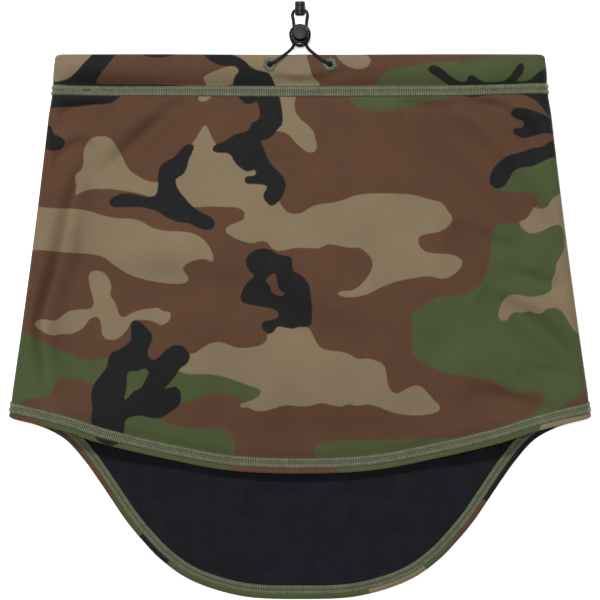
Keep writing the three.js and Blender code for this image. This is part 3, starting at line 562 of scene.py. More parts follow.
# ---- Meshes -----------------------------------------------------------------------------------------------
def make_mesh(name, points, faces, material, attributes=None, smooth=True):
    """An object from points in millimetres, with a value or a vector for each point under each attribute."""
    mesh = bpy.data.meshes.new(name)
    points = np.asarray(points, float).reshape(-1, 3)
    mesh.from_pydata((points * MM).tolist(), [], [list(map(int, f)) for f in faces])
    for key, values in (attributes or {}).items():
        kind, field = ("FLOAT", "value") if np.ndim(values) == 1 else ("FLOAT_VECTOR", "vector")
        layer = mesh.attributes.new(key, kind, "POINT")
        layer.data.foreach_set(field, np.asarray(values, np.float32).ravel())
    mesh.validate()
    mesh.polygons.foreach_set("use_smooth", [smooth] * len(mesh.polygons))
    mesh.materials.append(material)
    piece = bpy.data.objects.new(name, mesh)
    bpy.context.scene.collection.objects.link(piece)
    return piece


def grid_faces(rows, columns, offset=0, flip=False, wrap=False):
    """Quads between the rows of a grid of points, closed round each row if wrap."""
    index = np.arange(rows * columns).reshape(rows, columns) + offset
    if wrap:
        index = np.hstack([index, index[:, :1]])
    corners = [index[:-1, :-1], index[:-1, 1:], index[1:, 1:], index[1:, :-1]]
    quads = np.stack(corners, axis=-1).reshape(-1, 4)
    return quads[:, ::-1] if flip else quads


def end_caps(rows, columns, offset=0):
    """The faces that close both ends of a wrapped grid."""
    last = offset + (rows - 1) * columns
    return [list(range(offset, offset + columns))[::-1], list(range(last, last + columns))]


def ribbon_normals(rows):
    """Normals of a ribbon's section, along the panel and in depth, from roughly where its rows lie."""
    rough_place = {"hem": lambda v: v, "body": lambda v: 13 + v * 150, "neck": lambda v: 200 - v}
    along = np.array([rough_place[zone](value) for zone, value, _ in rows])
    depth = np.array([row_depth for _, _, row_depth in rows])
    run, fall = np.gradient(along), np.gradient(depth)
    size = np.maximum(np.hypot(run, fall), 1e-9)
    return fall / size, -run / size


def cloth_shell(panel, rows, thickness, columns, turned=True):
    """A closed sheet that follows rows of (zone, value, depth) down the middle of its thickness. Returns its
    points, its faces, and where each point lies on the laid-out cloth."""
    seam_gap = 0.06
    s = np.linspace(-1, 1, columns)
    normal_along, normal_depth = ribbon_normals(rows)
    grids, coords = [], []
    hem_across, hem_y = place(panel, s, "hem", 0)
    for side in (1, -1):
        across, y, depth, hem_gap, coord = [], [], [], [], []
        for (zone, value, row_depth), na, nd in zip(rows, normal_along, normal_depth):
            sense = {"hem": 1, "body": 0, "neck": -1}[zone]
            shifted = value + na * thickness / 2 * side * sense
            row_across, row_y = place(panel, s, zone, shifted)
            limit = cloth_half(panel, row_y) - seam_gap
            row_across = np.clip(row_across, -limit, limit)
            across.append(row_across)
            y.append(row_y)
            depth.append(row_depth + nd * thickness / 2 * side + 0 * s)
            hem_gap.append((shifted if zone == "hem" else FAR) + 0 * s)
            if turned and zone == "hem" and row_depth > FACE:
                coord.append(np.stack([2 * hem_across - row_across, 2 * hem_y - row_y], axis=-1))
            else:
                coord.append(np.stack([row_across, row_y], axis=-1))
        across, y, depth, hem_gap = (np.array(part) for part in (across, y, depth, hem_gap))
        grids.append(on_tube(panel, across, y, depth + relief(panel, across, y, hem_gap, NECK_Y - y)))
        coords.append(np.array(coord))
    count = len(rows)
    faces = [grid_faces(count, columns, flip=panel == "back"),
             grid_faces(count, columns, count * columns, flip=panel != "back")]
    outer = np.arange(count * columns).reshape(count, columns)
    inner = outer + count * columns
    ends = [(outer[0], inner[0]), (inner[-1], outer[-1])]
    sides = [(inner[:, 0], outer[:, 0]), (outer[:, -1], inner[:, -1])]
    for a, b in ends + sides:
        quads = np.stack([a[:-1], b[:-1], b[1:], a[1:]], axis=-1)
        faces.append(quads[:, ::-1] if panel == "back" else quads)
    points = np.concatenate([g.reshape(-1, 3) for g in grids])
    return points, np.concatenate(faces), np.concatenate([c.reshape(-1, 2) for c in coords])


def face_rows(panel):
    """The printed layer: turned-up hem, outside, neck fold and turned-in neck."""
    middle = FACE / 2
    turned = FACE + LINING + FACE / 2
    radius = (turned - middle) / 2
    edge = radius + middle
    turn = HEM_TURN if panel == "front" else HEM_TURN - 0.8
    ridge, ridge_place, ridge_width = 0.4, 1.7, 0.6
    rows = [("hem", e, turned + ridge * math.exp(-(((e - ridge_place) / ridge_width) ** 2)))
            for e in np.linspace(turn, edge, 17)]
    for degrees in (60, 30, 0, -30, -60):
        a = math.radians(degrees)
        rows.append(("hem", edge - radius * math.cos(a), middle + radius + radius * math.sin(a)))
    rows += [("hem", e, middle) for e in np.linspace(edge, HEM_ZONE, 14)]
    rows += [("body", share, middle) for share in np.linspace(0, 1, 128)]
    neck_radius = (CHANNEL - middle) / 2
    neck_edge = neck_radius + middle
    rows += [("neck", e, middle) for e in np.linspace(FLAT_NECK - 1, neck_edge, 22)]
    for degrees in (-70, -50, -25, 0, 25, 50, 70):
        a = math.radians(degrees)
        depth = middle + neck_radius + neck_radius * math.sin(a)
        rows.append(("neck", neck_edge - neck_radius * math.cos(a), depth))
    rows += [("neck", e, CHANNEL - (CHANNEL - turned) * float(smoothstep(e, 9, 16)))
             for e in np.linspace(neck_edge, NECK_TURN, 18)]
    return rows


def lining_rows():
    """The knit layer, from hem to neck edge."""
    middle = FACE + LINING / 2
    rows = [("hem", e, middle) for e in np.linspace(1.1, HEM_ZONE, 8)]
    rows += [("body", share, middle) for share in np.linspace(0, 1, 84)]
    return rows + [("neck", e, middle) for e in np.linspace(FLAT_NECK - 1, 3.0, 12)]


def with_eyelets(points, faces, radius):
    """Drops the faces round each eyelet, where the sewn rim covers the cloth's edge."""
    top_only = 12
    middle = points[faces].mean(axis=1)
    keep = np.ones(len(faces), bool)
    for x in (-EYELET_X, EYELET_X):
        keep &= ~((np.hypot(middle[:, 0] - x, middle[:, 1] - EYELET_Y) < radius) & (middle[:, 2] > top_only))
    return faces[keep]


def printed_panel(panel, material):
    points, faces, coords = cloth_shell(panel, face_rows(panel), FACE, COLUMNS)
    x, y = coords[:, 0], coords[:, 1]
    if panel == "front":
        green, tan = union_distance(GREEN, x, y), union_distance(TAN, x, y)
        black = union_distance(BLACK, x, y, BLACK_HOLES)
        faces = with_eyelets(points, faces, 2.1)
    else:
        green, tan, black = (union_distance(BACK_PRINT[key], x, y) for key in ("green", "tan", "black"))
    cloth = np.stack([x, y, 0 * x], axis=-1)
    return make_mesh(f"{panel}_softshell", points, faces, material,
                     {"print_green": green, "print_tan": tan, "print_black": black, "cloth_mm": cloth})


def knit_panel(panel, material):
    points, faces, coords = cloth_shell(panel, lining_rows(), LINING, COLUMNS, turned=False)
    if panel == "front":
        faces = with_eyelets(points, faces, 2.3)
    cloth = np.stack([coords[:, 0], coords[:, 1], 0 * coords[:, 0]], axis=-1)
    return make_mesh(f"{panel}_knit_lining", points, faces, material, {"cloth_mm": cloth})


# ---- Stitching --------------------------------------------------------------------------------------------
def tubes(paths, radius, sides):
    """Round threads along paths, an array of (threads, rings, 3), tapered to their ends. Returns their points
    and faces, and each point's share of the way along its thread."""
    paths = np.asarray(paths, float)
    threads, rings, _ = paths.shape
    tangent = np.gradient(paths, axis=1)
    tangent /= np.maximum(np.linalg.norm(tangent, axis=2, keepdims=True), 1e-9)
    chord = paths[:, -1] - paths[:, 0]
    bulge = paths[:, rings // 2] - (paths[:, 0] + paths[:, -1]) / 2
    lift = np.cross(chord, bulge)
    straight = np.linalg.norm(lift, axis=1) < 1e-6
    lift[straight] = np.cross(chord[straight], (0.3, 0.2, 0.93))
    side = np.repeat(lift[:, None], rings, axis=1)
    side -= (side * tangent).sum(2, keepdims=True) * tangent
    side /= np.maximum(np.linalg.norm(side, axis=2, keepdims=True), 1e-9)
    other = np.cross(tangent, side)
    angle = np.linspace(0, 2 * np.pi, sides, endpoint=False)
    size = radius * np.ones(rings)
    size[[0, -1]] *= 0.55
    across, up = np.cos(angle)[:, None], np.sin(angle)[:, None]
    ring = across * side[:, :, None] + up * other[:, :, None]
    points = paths[:, :, None] + ring * size[None, :, None, None]
    base = np.arange(threads)[:, None, None] * rings * sides
    quads = (grid_faces(rings, sides, wrap=True)[None] + base).reshape(-1, 4).tolist()
    caps = [cap for k in range(threads) for cap in end_caps(rings, sides, k * rings * sides)]
    along = np.broadcast_to(np.linspace(0, 1, rings)[None, :, None], (threads, rings, sides)).ravel()
    return points.reshape(-1, 3), quads + caps, along


def thread_piece(name, paths, sides, bed, bed_faces, material, radius=THREAD_RADIUS):
    """Threads over a bed of matted thread, whose points are marked with -1."""
    points, faces, along = tubes(paths, radius, sides)
    faces += [[i + len(points) for i in face] for face in bed_faces]
    along = np.concatenate([along, np.full(len(bed), -1.0)])
    return make_mesh(name, np.concatenate([points, bed]), faces, material, {"thread_along": along})


def band_place(panel, zone, middle):
    """A function from a column, an offset across the band and a height off the cloth to a point."""
    def at(s, v, lift, inner):
        value = middle + v
        across, y = place(panel, s, zone, value)
        if zone == "neck":
            value = value - NECK_STITCH + stitch_line(across)
            across, y = place(panel, s, zone, value)
        limit = cloth_half(panel, y) - 0.05
        across = np.clip(across, -limit, limit)
        hem_gap = value if zone == "hem" else FAR + 0 * value
        depth = 2 * FACE + LINING + lift if inner else -lift
        sunk = relief(panel, across, y, hem_gap, NECK_Y - y)
        return on_tube(panel, across, y, depth + sunk)
    return at


def stitch_columns(at, pitch):
    """The columns at which stitches lie along a band, and the gap between them."""
    s = np.linspace(-1, 1, 3000)
    along = distance_along(at(s, 0 * s, 0 * s, False))
    count = int(along[-1] / pitch)
    columns = np.interp((np.arange(count) + 0.5) * along[-1] / count, along, s)
    return columns, along[-1] / count / (along[-1] / 2)


def coverstitch(name, runs, inner, material, width):
    """Rows of looper thread across a seam, with a needle line down its middle. On the outside the threads
    make two ribs; on the inside they lie closer and flatter."""
    half, rings = width / 2, 7
    radius, height = (0.26, 0.3) if inner else (THREAD_RADIUS, 0.6)
    ribs = [(-half, -0.1), (0.2, half)] if inner else [(-half + 0.15, -0.12), (0.78, half - 0.15)]
    paths = []
    for at in runs:
        s, step = stitch_columns(at, STITCH_PITCH)
        number = np.arange(len(s))[:, None]
        wander = 0.1 * np.sin(number * 1.7) + 0.08 * np.sin(number * 0.61 + 1) + 0.05 * np.sin(number * 2.9)
        t = np.linspace(0, 1, rings)[None]
        for (start, end), slant in zip(ribs, (0.16, -0.16)):
            v = start + (end - start) * t + 0.14 * wander
            lean = slant * step * (t - 0.5)
            crown = height * np.sin(np.pi * t) ** 0.7 - 0.05
            columns = np.clip(s[:, None] + lean + 0.1 * step * wander, -LAST_COLUMN, LAST_COLUMN)
            paths.append(at(columns, v, crown + 0.05 * wander, inner))
        if not inner:
            t = np.linspace(-0.3, 0.3, rings)[None]
            columns = np.clip(s[:, None] + t * step, -LAST_COLUMN, LAST_COLUMN)
            needle_line = 0 * columns + 0.33 + 0.05 * wander
            paths.append(at(columns, needle_line, 0.14 - 1.6 * t**2 + 0 * columns, inner))
    bed, bed_faces = stitch_bed(runs, inner, width)
    return thread_piece(name, np.concatenate(paths), 6, bed, bed_faces, material, radius)


def stitch_bed(runs, inner, width):
    """The matted thread below the crossing ones, a thin closed strip."""
    points, faces, count = [], [], 0
    v = np.array([-1, -0.5, 0.12, 0.6, 1]) * (width / 2 + 0.05)
    top = np.array([0.02, 0.2, 0.03, 0.2, 0.02])
    section = [(a, b) for a, b in zip(v, top)] + [(a, -0.2) for a in v[::-1]]
    for at in runs:
        s = np.linspace(-LAST_COLUMN, LAST_COLUMN, 260)
        grid = np.stack([at(s, a + 0 * s, b + 0 * s, inner) for a, b in section], axis=1)
        points.append(grid.reshape(-1, 3))
        faces += grid_faces(len(s), len(section), count, wrap=True).tolist()
        faces += end_caps(len(s), len(section), count)
        count += len(s) * len(section)
    return np.concatenate(points), faces


def sewn_eyelet(name, x, material):
    """Satin stitches round a hole: threads that rise out of it, cross the rim and go down into the cloth."""
    here = np.array([x]), np.array([EYELET_Y])
    gap = np.array([FAR]), np.array([NECK_Y - EYELET_Y])
    cloth_z = float(on_tube("front", *here, relief("front", *here, *gap))[0, 2])

    def circle(radius, turn, height):
        z = cloth_z + height + 0 * turn
        return np.stack([x + radius * np.cos(turn), EYELET_Y + radius * np.sin(turn), z], axis=-1)

    stitches, segments = 31, 48
    angle = np.linspace(0, 2 * np.pi, stitches, endpoint=False)
    wobble = 0.2 * np.sin(angle * 7 + x) + 0.16 * np.sin(angle * 13) + 0.1 * np.sin(angle * 23 + 1)
    profile = [(1.7, -1.0), (1.58, -0.4), (1.7, 0.15), (2.1, 0.45), (2.6, 0.52), (3.05, 0.4), (3.4, 0.1),
               (3.55, -0.3)]
    paths = []
    for k, (r, h) in enumerate(profile):
        share = k / (len(profile) - 1)
        turn = angle + 0.1 * (share - 0.5) + 0.03 * np.sin(angle * 11)
        paths.append(circle(r + wobble * share, turn, h))
    bed = [(1.62, -1.1), (1.62, 0.0), (2.1, 0.22), (2.6, 0.26), (3.0, 0.14), (3.3, -0.15), (3.3, -0.5),
           (2.4, -1.1)]
    turn = np.linspace(0, 2 * np.pi, segments, endpoint=False)
    rings = np.stack([circle(r, turn, h) for r, h in bed], axis=1)
    index = np.arange(segments * len(bed)).reshape(segments, len(bed))
    after = np.roll(index, -1, axis=0)
    quads = np.stack([index, after, np.roll(after, -1, axis=1), np.roll(index, -1, axis=1)], axis=-1)
    return thread_piece(name, np.stack(paths, axis=1), 6, rings.reshape(-1, 3),
                        quads.reshape(-1, 4).tolist(), material)


def overlocked_seam(name, side, material):
    """The two seam allowances inside the side fold, wrapped in overlock thread."""
    width, half_height = 2.6, 0.55
    y = np.linspace(CORNER_Y + 14, NECK_Y - FLAT_NECK, 190)
    inner = half_width(y) - FACE - LINING - 3.6
    paths = []
    t = np.linspace(0, 1, 6)
    for up in (1, -1):
        x = side * (inner[:, None] + width * t[None])
        z = FOLD_RADIUS + up * (half_height + 0.12 * np.sin(np.pi * t))[None] + 0 * x
        paths.append(np.stack([x, y[:, None] + (0.5 - t[None]) * 0.5 * up, z], axis=-1))
    section = [(0, -0.45), (width, -0.5), (width, 0.5), (0, 0.45)]
    bed = np.stack([np.stack([side * (inner + a), y, FOLD_RADIUS + b + 0 * y], axis=-1) for a, b in section],
                   axis=1)
    bed_faces = grid_faces(len(y), len(section), wrap=True).tolist()
    bed_faces += [cap[::-1] for cap in end_caps(len(y), len(section))]
    return thread_piece(name, np.concatenate(paths), 5, bed.reshape(-1, 3), bed_faces, material)


# ---- Cord -------------------------------------------------------------------------------------------------
def mirrored(points):
    return [(-x, y, z) for x, y, z in reversed(points)]


def braided_cord(name, route, material):
    """A round elastic cord with a fine braided sleeve. Returns the piece and the line that it follows."""
    sides, spacing = 24, 0.45
    lobes, lay, groove = 6, 3.4, 0.06
    line = resample(catmull(route, 24), spacing)
    tangent = np.gradient(line, axis=0)
    tangent /= np.linalg.norm(tangent, axis=1, keepdims=True)
    side = np.zeros_like(line)
    side[0] = np.cross(tangent[0], (0, 0, 1))
    for k in range(1, len(line)):
        side[k] = side[k - 1] - tangent[k] * (side[k - 1] @ tangent[k])
        side[k] /= np.linalg.norm(side[k])
    side[0] /= np.linalg.norm(side[0])
    other = np.cross(tangent, side)
    angle = np.linspace(0, 2 * np.pi, sides, endpoint=False)
    along = (np.arange(len(line)) * spacing)[:, None]
    turn = 2 * np.pi * along / lay * 2
    strands = np.maximum(np.cos(lobes * angle[None] + turn), np.cos(lobes * angle[None] - turn))
    radius = CORD_RADIUS - groove + groove * strands
    ring = np.cos(angle)[:, None] * side[:, None] + np.sin(angle)[:, None] * other[:, None]
    points = line[:, None] + radius[..., None] * ring
    faces = grid_faces(len(line), sides, wrap=True).tolist() + end_caps(len(line), sides)
    return make_mesh(name, points.reshape(-1, 3), faces, material), line


# ---- Moulded pieces ---------------------------------------------------------------------------------------
def arc(centre, radius, start, end, steps):
    angle = np.radians(np.linspace(start, end, steps))
    return [(centre[0] + radius * math.cos(a), centre[1] + radius * math.sin(a)) for a in angle]


def turned(profile, segments):
    """A body turned about Z, from (radius, height) pairs that start and end on the axis."""
    inner = profile[1:-1]
    angle = np.linspace(0, 2 * np.pi, segments, endpoint=False)
    rings = [np.stack([r * np.cos(angle), r * np.sin(angle), h + 0 * angle], axis=-1) for r, h in inner]
    points = np.concatenate([[(0, 0, profile[0][1])], *rings, [(0, 0, profile[-1][1])]])
    faces = []
    for k in range(segments):
        n = (k + 1) % segments
        faces.append([0, 1 + n, 1 + k])
        for row in range(len(inner) - 1):
            a = 1 + row * segments
            faces.append([a + k, a + n, a + segments + n, a + segments + k])
        last = 1 + (len(inner) - 1) * segments
        faces.append([last + k, last + n, len(points) - 1])
    return points, faces


def about_x(tilt):
    """The axes of a piece whose own Z leans towards +Y."""
    return [[1, 0, 0], [0, math.cos(tilt), math.sin(tilt)], [0, -math.sin(tilt), math.cos(tilt)]]


def placed(points, axes, origin):
    return points @ np.array(axes).T + np.array(origin)


Z_TO_Y = [[1, 0, 0], [0, 0, 1], [0, -1, 0]]
LOCK = about_x(math.radians(14)), (0, 153.3, 7.65)  # its axes, Z along the button's travel, and its origin
END = Z_TO_Y, (0, 164.25, 2.8)  # the same for the cord end
SPRING_LOW, SPRING_HIGH, SPRING_PRESSED = -4.96, -1.7, -3.56  # on the lock's own Z


def turned_piece(name, profile, where, material, segments=72):
    points, faces = turned(profile, segments)
    return make_mesh(name, placed(points, *where), faces, material)


def cut_out(piece, cutters):
    """Subtracts closed meshes from a piece."""
    for cutter in cutters:
        modifier = piece.modifiers.new("cut", "BOOLEAN")
        modifier.operation = "DIFFERENCE"
        modifier.solver = "EXACT"
        modifier.object = cutter
        evaluated = piece.evaluated_get(bpy.context.evaluated_depsgraph_get())
        mesh = bpy.data.meshes.new_from_object(evaluated)
        piece.modifiers.clear()
        piece.data = mesh
        bpy.data.objects.remove(cutter)
    piece.data.set_sharp_from_angle(angle=math.radians(40))
    return piece


def lock_barrel(material):
    """The ball, with a groove round it, a well for the button and two holes for the cord."""
    profile = [(0, -7.6), *arc((0, -1.9), 5.6, -84, -2, 20), (5.62, -1.4), (5.6, 0.5), (5.4, 0.85),
               (5.1, 1.05), (5.1, 1.35), (5.5, 1.55), *arc((5.3, 2.5), 0.5, -60, 90, 9), (4.9, 3.2),
               (4.6, 3.5), *arc((4.42, 3.3), 0.25, 80, 180, 5), (4.14, 2.6), (4.12, 1.9), (4.12, -5), (0, -5)]
    piece = turned_piece("cord_lock_barrel", profile, LOCK, material)
    cord_x, bore, reach = 3.2, 1.35, 9
    cutters = []
    for side in (-1, 1):
        hole, hole_faces = turned([(0, -reach), (bore, -reach), (bore, reach), (0, reach)], 28)
        hole = placed(hole, Z_TO_Y, (side * cord_x, 0, 0))
        cutters.append(make_mesh("hole", placed(hole, *LOCK), hole_faces, material))
    return cut_out(piece, cutters)


def lock_button(material):
    """The button: a hollow below for the spring, and a window at each side for the cord."""
    profile = [(0, -1.5), (2.5, -1.5), (2.5, -2.5), (3.5, -2.5), (3.62, -2.35), (3.66, 5.4),
               *arc((3.4, 5.66), 0.28, 0, 80, 7), (3.1, 5.98), (2.6, 6.08), (1.4, 6.16), (0, 6.18)]
    piece = turned_piece("cord_lock_button", profile, LOCK, material)
    low, high, near, far, half_depth = -1.3, 3.5, 1.7, 6, 8
    box = [(0, 1, 3, 2), (4, 6, 7, 5), (0, 4, 5, 1), (2, 3, 7, 6), (0, 2, 6, 4), (1, 5, 7, 3)]
    cutters = []
    for side in (-1, 1):
        corners = np.array([(side * x, y, z) for x in (near, far) for y in (-half_depth, half_depth)
                            for z in (low, high)], float)
        faces = box if side > 0 else [f[::-1] for f in box]
        cutters.append(make_mesh("window", placed(corners, *LOCK), faces, material, smooth=False))
    return cut_out(piece, cutters)


def coil_spring(material):
    """The button's spring. It stands on the floor of the barrel and reaches into the button's hollow."""
    turns, radius, wire, count = 4, 2, 0.18, 160
    t = np.linspace(0, 1, count)
    angle = 2 * np.pi * turns * t
    height = SPRING_LOW + wire + (SPRING_HIGH - SPRING_LOW - 2 * wire) * t
    helix = np.stack([radius * np.cos(angle), radius * np.sin(angle), height], axis=-1)
    points, faces, _ = tubes(placed(helix, *LOCK)[None], wire, 8)
    return make_mesh("cord_lock_spring", points, faces, material)


def cord_end_body(material, loop):
    profile = [(0, 0), (1.1, 0), *arc((1.55, 1.15), 1.12, -75, -10, 8), (2.68, 1.6), (2.66, 1.9), (2.5, 2.02),
               (2.5, 2.2), *arc((2.6, 2.42), 0.15, -80, 0, 4), (2.83, 3.6), (2.8, 4.7),
               *arc((2.58, 4.95), 0.2, 0, 80, 4), (2.3, 5.15), (1.2, 5.15), (1.2, 6.2), (0, 6.2)]
    piece = turned_piece("cord_end_barrel", profile, END, material, 64)
    bore, bore_faces, _ = tubes(loop[None], 1.05, 16)
    return cut_out(piece, [make_mesh("bore", bore, bore_faces, material)])


def cord_end_cap(material):
    profile = [(0, 5.3), (1.5, 5.3), (2.5, 5.3), *arc((2.6, 5.45), 0.15, -60, 0, 3), (2.78, 6.4),
               *arc((2.1, 6.9), 0.68, 0, 80, 8), (1.2, 7.62), (0, 7.65)]
    return turned_piece("cord_end_plug", profile, END, material, 64)


# ---- Materials --------------------------------------------------------------------------------------------
class Shader:
    """A material with its nodes made one by one."""

    def __init__(self, name, roughness, sheen=0.0, metallic=0.0, shine=0.5):
        self.material = bpy.data.materials.new(name)
        self.material.use_nodes = True
        self.nodes = self.material.node_tree.nodes
        self.links = self.material.node_tree.links
        self.surface = self.nodes["Principled BSDF"]
        self.surface.inputs["Roughness"].default_value = roughness
        self.surface.inputs["Metallic"].default_value = metallic
        self.surface.inputs["Sheen Weight"].default_value = sheen
        self.surface.inputs["Sheen Roughness"].default_value = 0.45
        self.surface.inputs["Specular IOR Level"].default_value = shine

    def node(self, kind, inputs=None, **settings):
        node = self.nodes.new(kind)
        for key, value in settings.items():
            setattr(node, key, value)
        for key, value in (inputs or {}).items():
            if isinstance(value, bpy.types.NodeSocket):
                self.links.new(value, node.inputs[key])
            else:
                node.inputs[key].default_value = value
        return node

    def attribute(self, name):
        return self.node("ShaderNodeAttribute", attribute_name=name)

    def math(self, operation, a, b=0.0, c=0.0):
        return self.node("ShaderNodeMath", {0: a, 1: b, 2: c}, operation=operation).outputs[0]

    def ramp(self, value, low, high, to_low=0.0, to_high=1.0):
        inputs = {"Value": value, "From Min": low, "From Max": high, "To Min": to_low, "To Max": to_high}
        return self.node("ShaderNodeMapRange", inputs, clamp=True).outputs[0]

    def mix(self, share, a, b, blend="MIX"):
        node = self.node("ShaderNodeMix", data_type="RGBA", blend_type=blend)
        for index, value in ((0, share), (6, a), (7, b)):
            if isinstance(value, bpy.types.NodeSocket):
                self.links.new(value, node.inputs[index])
            else:
                node.inputs[index].default_value = value
        return node.outputs[2]

    def noise(self, vector, scale, detail=3.0, roughness=0.5):
        inputs = {"Vector": vector, "Scale": scale, "Detail": detail, "Roughness": roughness}
        return self.node("ShaderNodeTexNoise", inputs).outputs["Fac"]

    def object_mm(self):
        place = self.node("ShaderNodeTexCoord").outputs["Object"]
        return self.node("ShaderNodeVectorMath", {0: place, "Scale": 1000.0}, operation="SCALE").outputs[0]

    def bump(self, height, strength, distance, below=None):
        inputs = {"Height": height, "Strength": strength, "Distance": distance}
        if below is not None:
            inputs["Normal"] = below
        return self.node("ShaderNodeBump", inputs).outputs[0]

    def finish(self, colour=None, normal=None, roughness=None):
        for socket, value in (("Base Color", colour), ("Normal", normal), ("Roughness", roughness)):
            if value is not None:
                self.links.new(value, self.surface.inputs[socket])
        return self.material


def srgb(r, g, b):
    def linear(v):
        v /= 255
        return v / 12.92 if v <= 0.04045 else ((v + 0.055) / 1.055) ** 2.4
    return (linear(r), linear(g), linear(b), 1)


BROWN, GREEN_INK = srgb(89, 62, 46), srgb(73, 82, 50)
TAN_INK, BLACK_INK = srgb(128, 112, 88), srgb(29, 29, 29)


def grid_wave(shader, vector, pitch, axis):
    """A rounded wave from 0 to 1 across one axis of a millimetre vector."""
    parts = shader.node("ShaderNodeSeparateXYZ", {0: vector})
    angle = shader.math("MULTIPLY", parts.outputs[axis], 2 * math.pi / pitch)
    return shader.math("MULTIPLY_ADD", shader.math("SINE", angle), 0.5, 0.5)


def printed_softshell():
    """Four inks, laid over each other by their distances to the print's outlines, on a fine weave."""
    shader = Shader("printed_softshell", 0.82, sheen=0.04, shine=0.15)
    cloth = shader.attribute("cloth_mm").outputs["Vector"]
    bleed = shader.noise(cloth, 1.6, 2.0)
    wobble = shader.math("MULTIPLY_ADD", bleed, 0.5, -0.25)

    def layer(name, soft):
        distance = shader.math("ADD", shader.attribute(name).outputs["Fac"], wobble)
        return shader.ramp(distance, -soft, soft, 1.0, 0.0)

    colour = shader.mix(layer("print_green", 0.75), BROWN, GREEN_INK)
    colour = shader.mix(layer("print_tan", 0.28), colour, TAN_INK)
    colour = shader.mix(layer("print_black", 0.3), colour, BLACK_INK)
    broad = shader.ramp(shader.noise(cloth, 0.035, 2.0), 0.3, 0.7, 0.93, 1.07)
    fibre = shader.ramp(shader.noise(cloth, 3.2, 4.0, 0.7), 0.25, 0.75, 0.86, 1.12)
    tone = shader.math("MULTIPLY", broad, fibre)
    shade = shader.node("ShaderNodeCombineColor", {0: tone, 1: tone, 2: tone}).outputs[0]
    colour = shader.mix(1.0, colour, shade, "MULTIPLY")
    warp, weft = grid_wave(shader, cloth, 0.52, 0), grid_wave(shader, cloth, 0.62, 1)
    weave = shader.math("MULTIPLY_ADD", warp, 0.6, shader.math("MULTIPLY", weft, 0.6))
    normal = shader.bump(weave, 0.3, 0.00009)
    normal = shader.bump(shader.noise(cloth, 1.1, 3.0), 0.25, 0.0003, normal)
    rough = shader.ramp(shader.noise(cloth, 0.3, 3.0), 0.3, 0.7, 0.74, 0.9)
    return shader.finish(colour, normal, rough)


def knit_lining():
    """A grid of small raised cells, with painted shade in the grooves between them."""
    shader = Shader("knit_lining", 0.92, sheen=0.05, shine=0.1)
    cloth = shader.attribute("cloth_mm").outputs["Vector"]
    wander = shader.noise(cloth, 0.09, 2.0)
    ribs, rows = grid_wave(shader, cloth, 1.14, 0), grid_wave(shader, cloth, 1.05, 1)
    ribs, rows = (shader.math("MULTIPLY_ADD", wave, 0.7, 0.3) for wave in (ribs, rows))
    cells = shader.math("MULTIPLY", ribs, rows)
    loops = shader.noise(cloth, 2.4, 3.0, 0.7)
    height = shader.math("MULTIPLY_ADD", loops, 0.35, cells)
    # painted shade: the colour darkens in the grooves between the raised cells, on top of a random tone from
    # the noise
    lit = shader.math("MULTIPLY_ADD", wander, 0.25, shader.math("MULTIPLY_ADD", cells, 0.55, 0.55))
    shade = shader.ramp(shader.math("MULTIPLY_ADD", loops, 0.5, lit), 0.82, 1.4, 0.0, 1.0)
    colour = shader.mix(shade, srgb(0, 0, 1), srgb(42, 44, 49))
    normal = shader.bump(height, 1.0, 0.0006)
    return shader.finish(colour, normal)


def thread_material(name, dark, light):
    """Spun thread, with painted shade on the threads' ends and on the matted bed below, marked with -1."""
    shader = Shader(name, 0.62, sheen=0.06, shine=0.3)
    where = shader.object_mm()
    along = shader.attribute("thread_along").outputs["Fac"]
    fuzz = shader.noise(where, 4.0, 3.0, 0.6)
    uneven = shader.noise(where, 0.25, 2.0)
    share = shader.math("MULTIPLY_ADD", fuzz, 0.5, shader.math("MULTIPLY", uneven, 0.5))
    colour = shader.mix(shader.ramp(share, 0.3, 0.7), dark, light)
    middle = shader.math("ABSOLUTE", shader.math("SUBTRACT", along, 0.5))
    # painted shade: a darker thread colour, mixed in towards each thread's ends, where it goes down into the
    # cloth, and over all of the bed below the threads
    painted_shade = tuple(0.42 * c for c in dark[:3]) + (1,)
    colour = shader.mix(shader.ramp(middle, 0.32, 0.5, 0.0, 0.6), colour, painted_shade)
    colour = shader.mix(shader.ramp(along, -0.5, 0.0, 1.0, 0.0), colour, painted_shade)
    waves = {"Vector": where, "Scale": 1.1, "Distortion": 2.0, "Detail": 1.0}
    ply = shader.node("ShaderNodeTexWave", waves, bands_direction="DIAGONAL")
    normal = shader.bump(ply.outputs["Fac"], 0.35, 0.00012)
    return shader.finish(colour, normal)


def cord_material():
    shader = Shader("elastic_braid", 0.6, sheen=0.04, shine=0.3)
    where = shader.object_mm()
    yarns = shader.ramp(shader.noise(where, 2.2, 3.0), 0.35, 0.65)
    colour = shader.mix(yarns, srgb(8, 8, 9), srgb(27, 27, 29))
    normal = shader.bump(shader.noise(where, 5.0, 2.0), 0.4, 0.0001)
    return shader.finish(colour, normal)


def moulded_black(name, smoothest, roughest):
    """Moulded plastic with light scuffs."""
    shader = Shader(name, smoothest, shine=0.5)
    where = shader.object_mm()
    colour = shader.mix(shader.noise(where, 0.8, 3.0), srgb(6, 6, 7), srgb(15, 15, 16))
    scuffs = shader.ramp(shader.noise(where, 0.9, 3.0, 0.6), 0.35, 0.75, smoothest, roughest)
    normal = shader.bump(shader.noise(where, 1.5, 2.0), 0.06, 0.00004)
    return shader.finish(colour, normal, scuffs)


def textured_black():
    """The spark-eroded face of the button, worn a little smoother in places."""
    shader = Shader("textured_black", 0.5, shine=0.4)
    where = shader.object_mm()
    grain = shader.ramp(shader.noise(where, 1.8, 4.0, 0.7), 0.35, 0.65)
    colour = shader.mix(grain, srgb(5, 5, 6), srgb(24, 24, 25))
    worn = shader.ramp(shader.noise(where, 0.4, 2.0), 0.4, 0.7, 0.38, 0.52)
    normal = shader.bump(shader.noise(where, 1.9, 4.0, 0.7), 0.9, 0.0003)
    return shader.finish(colour, normal, worn)


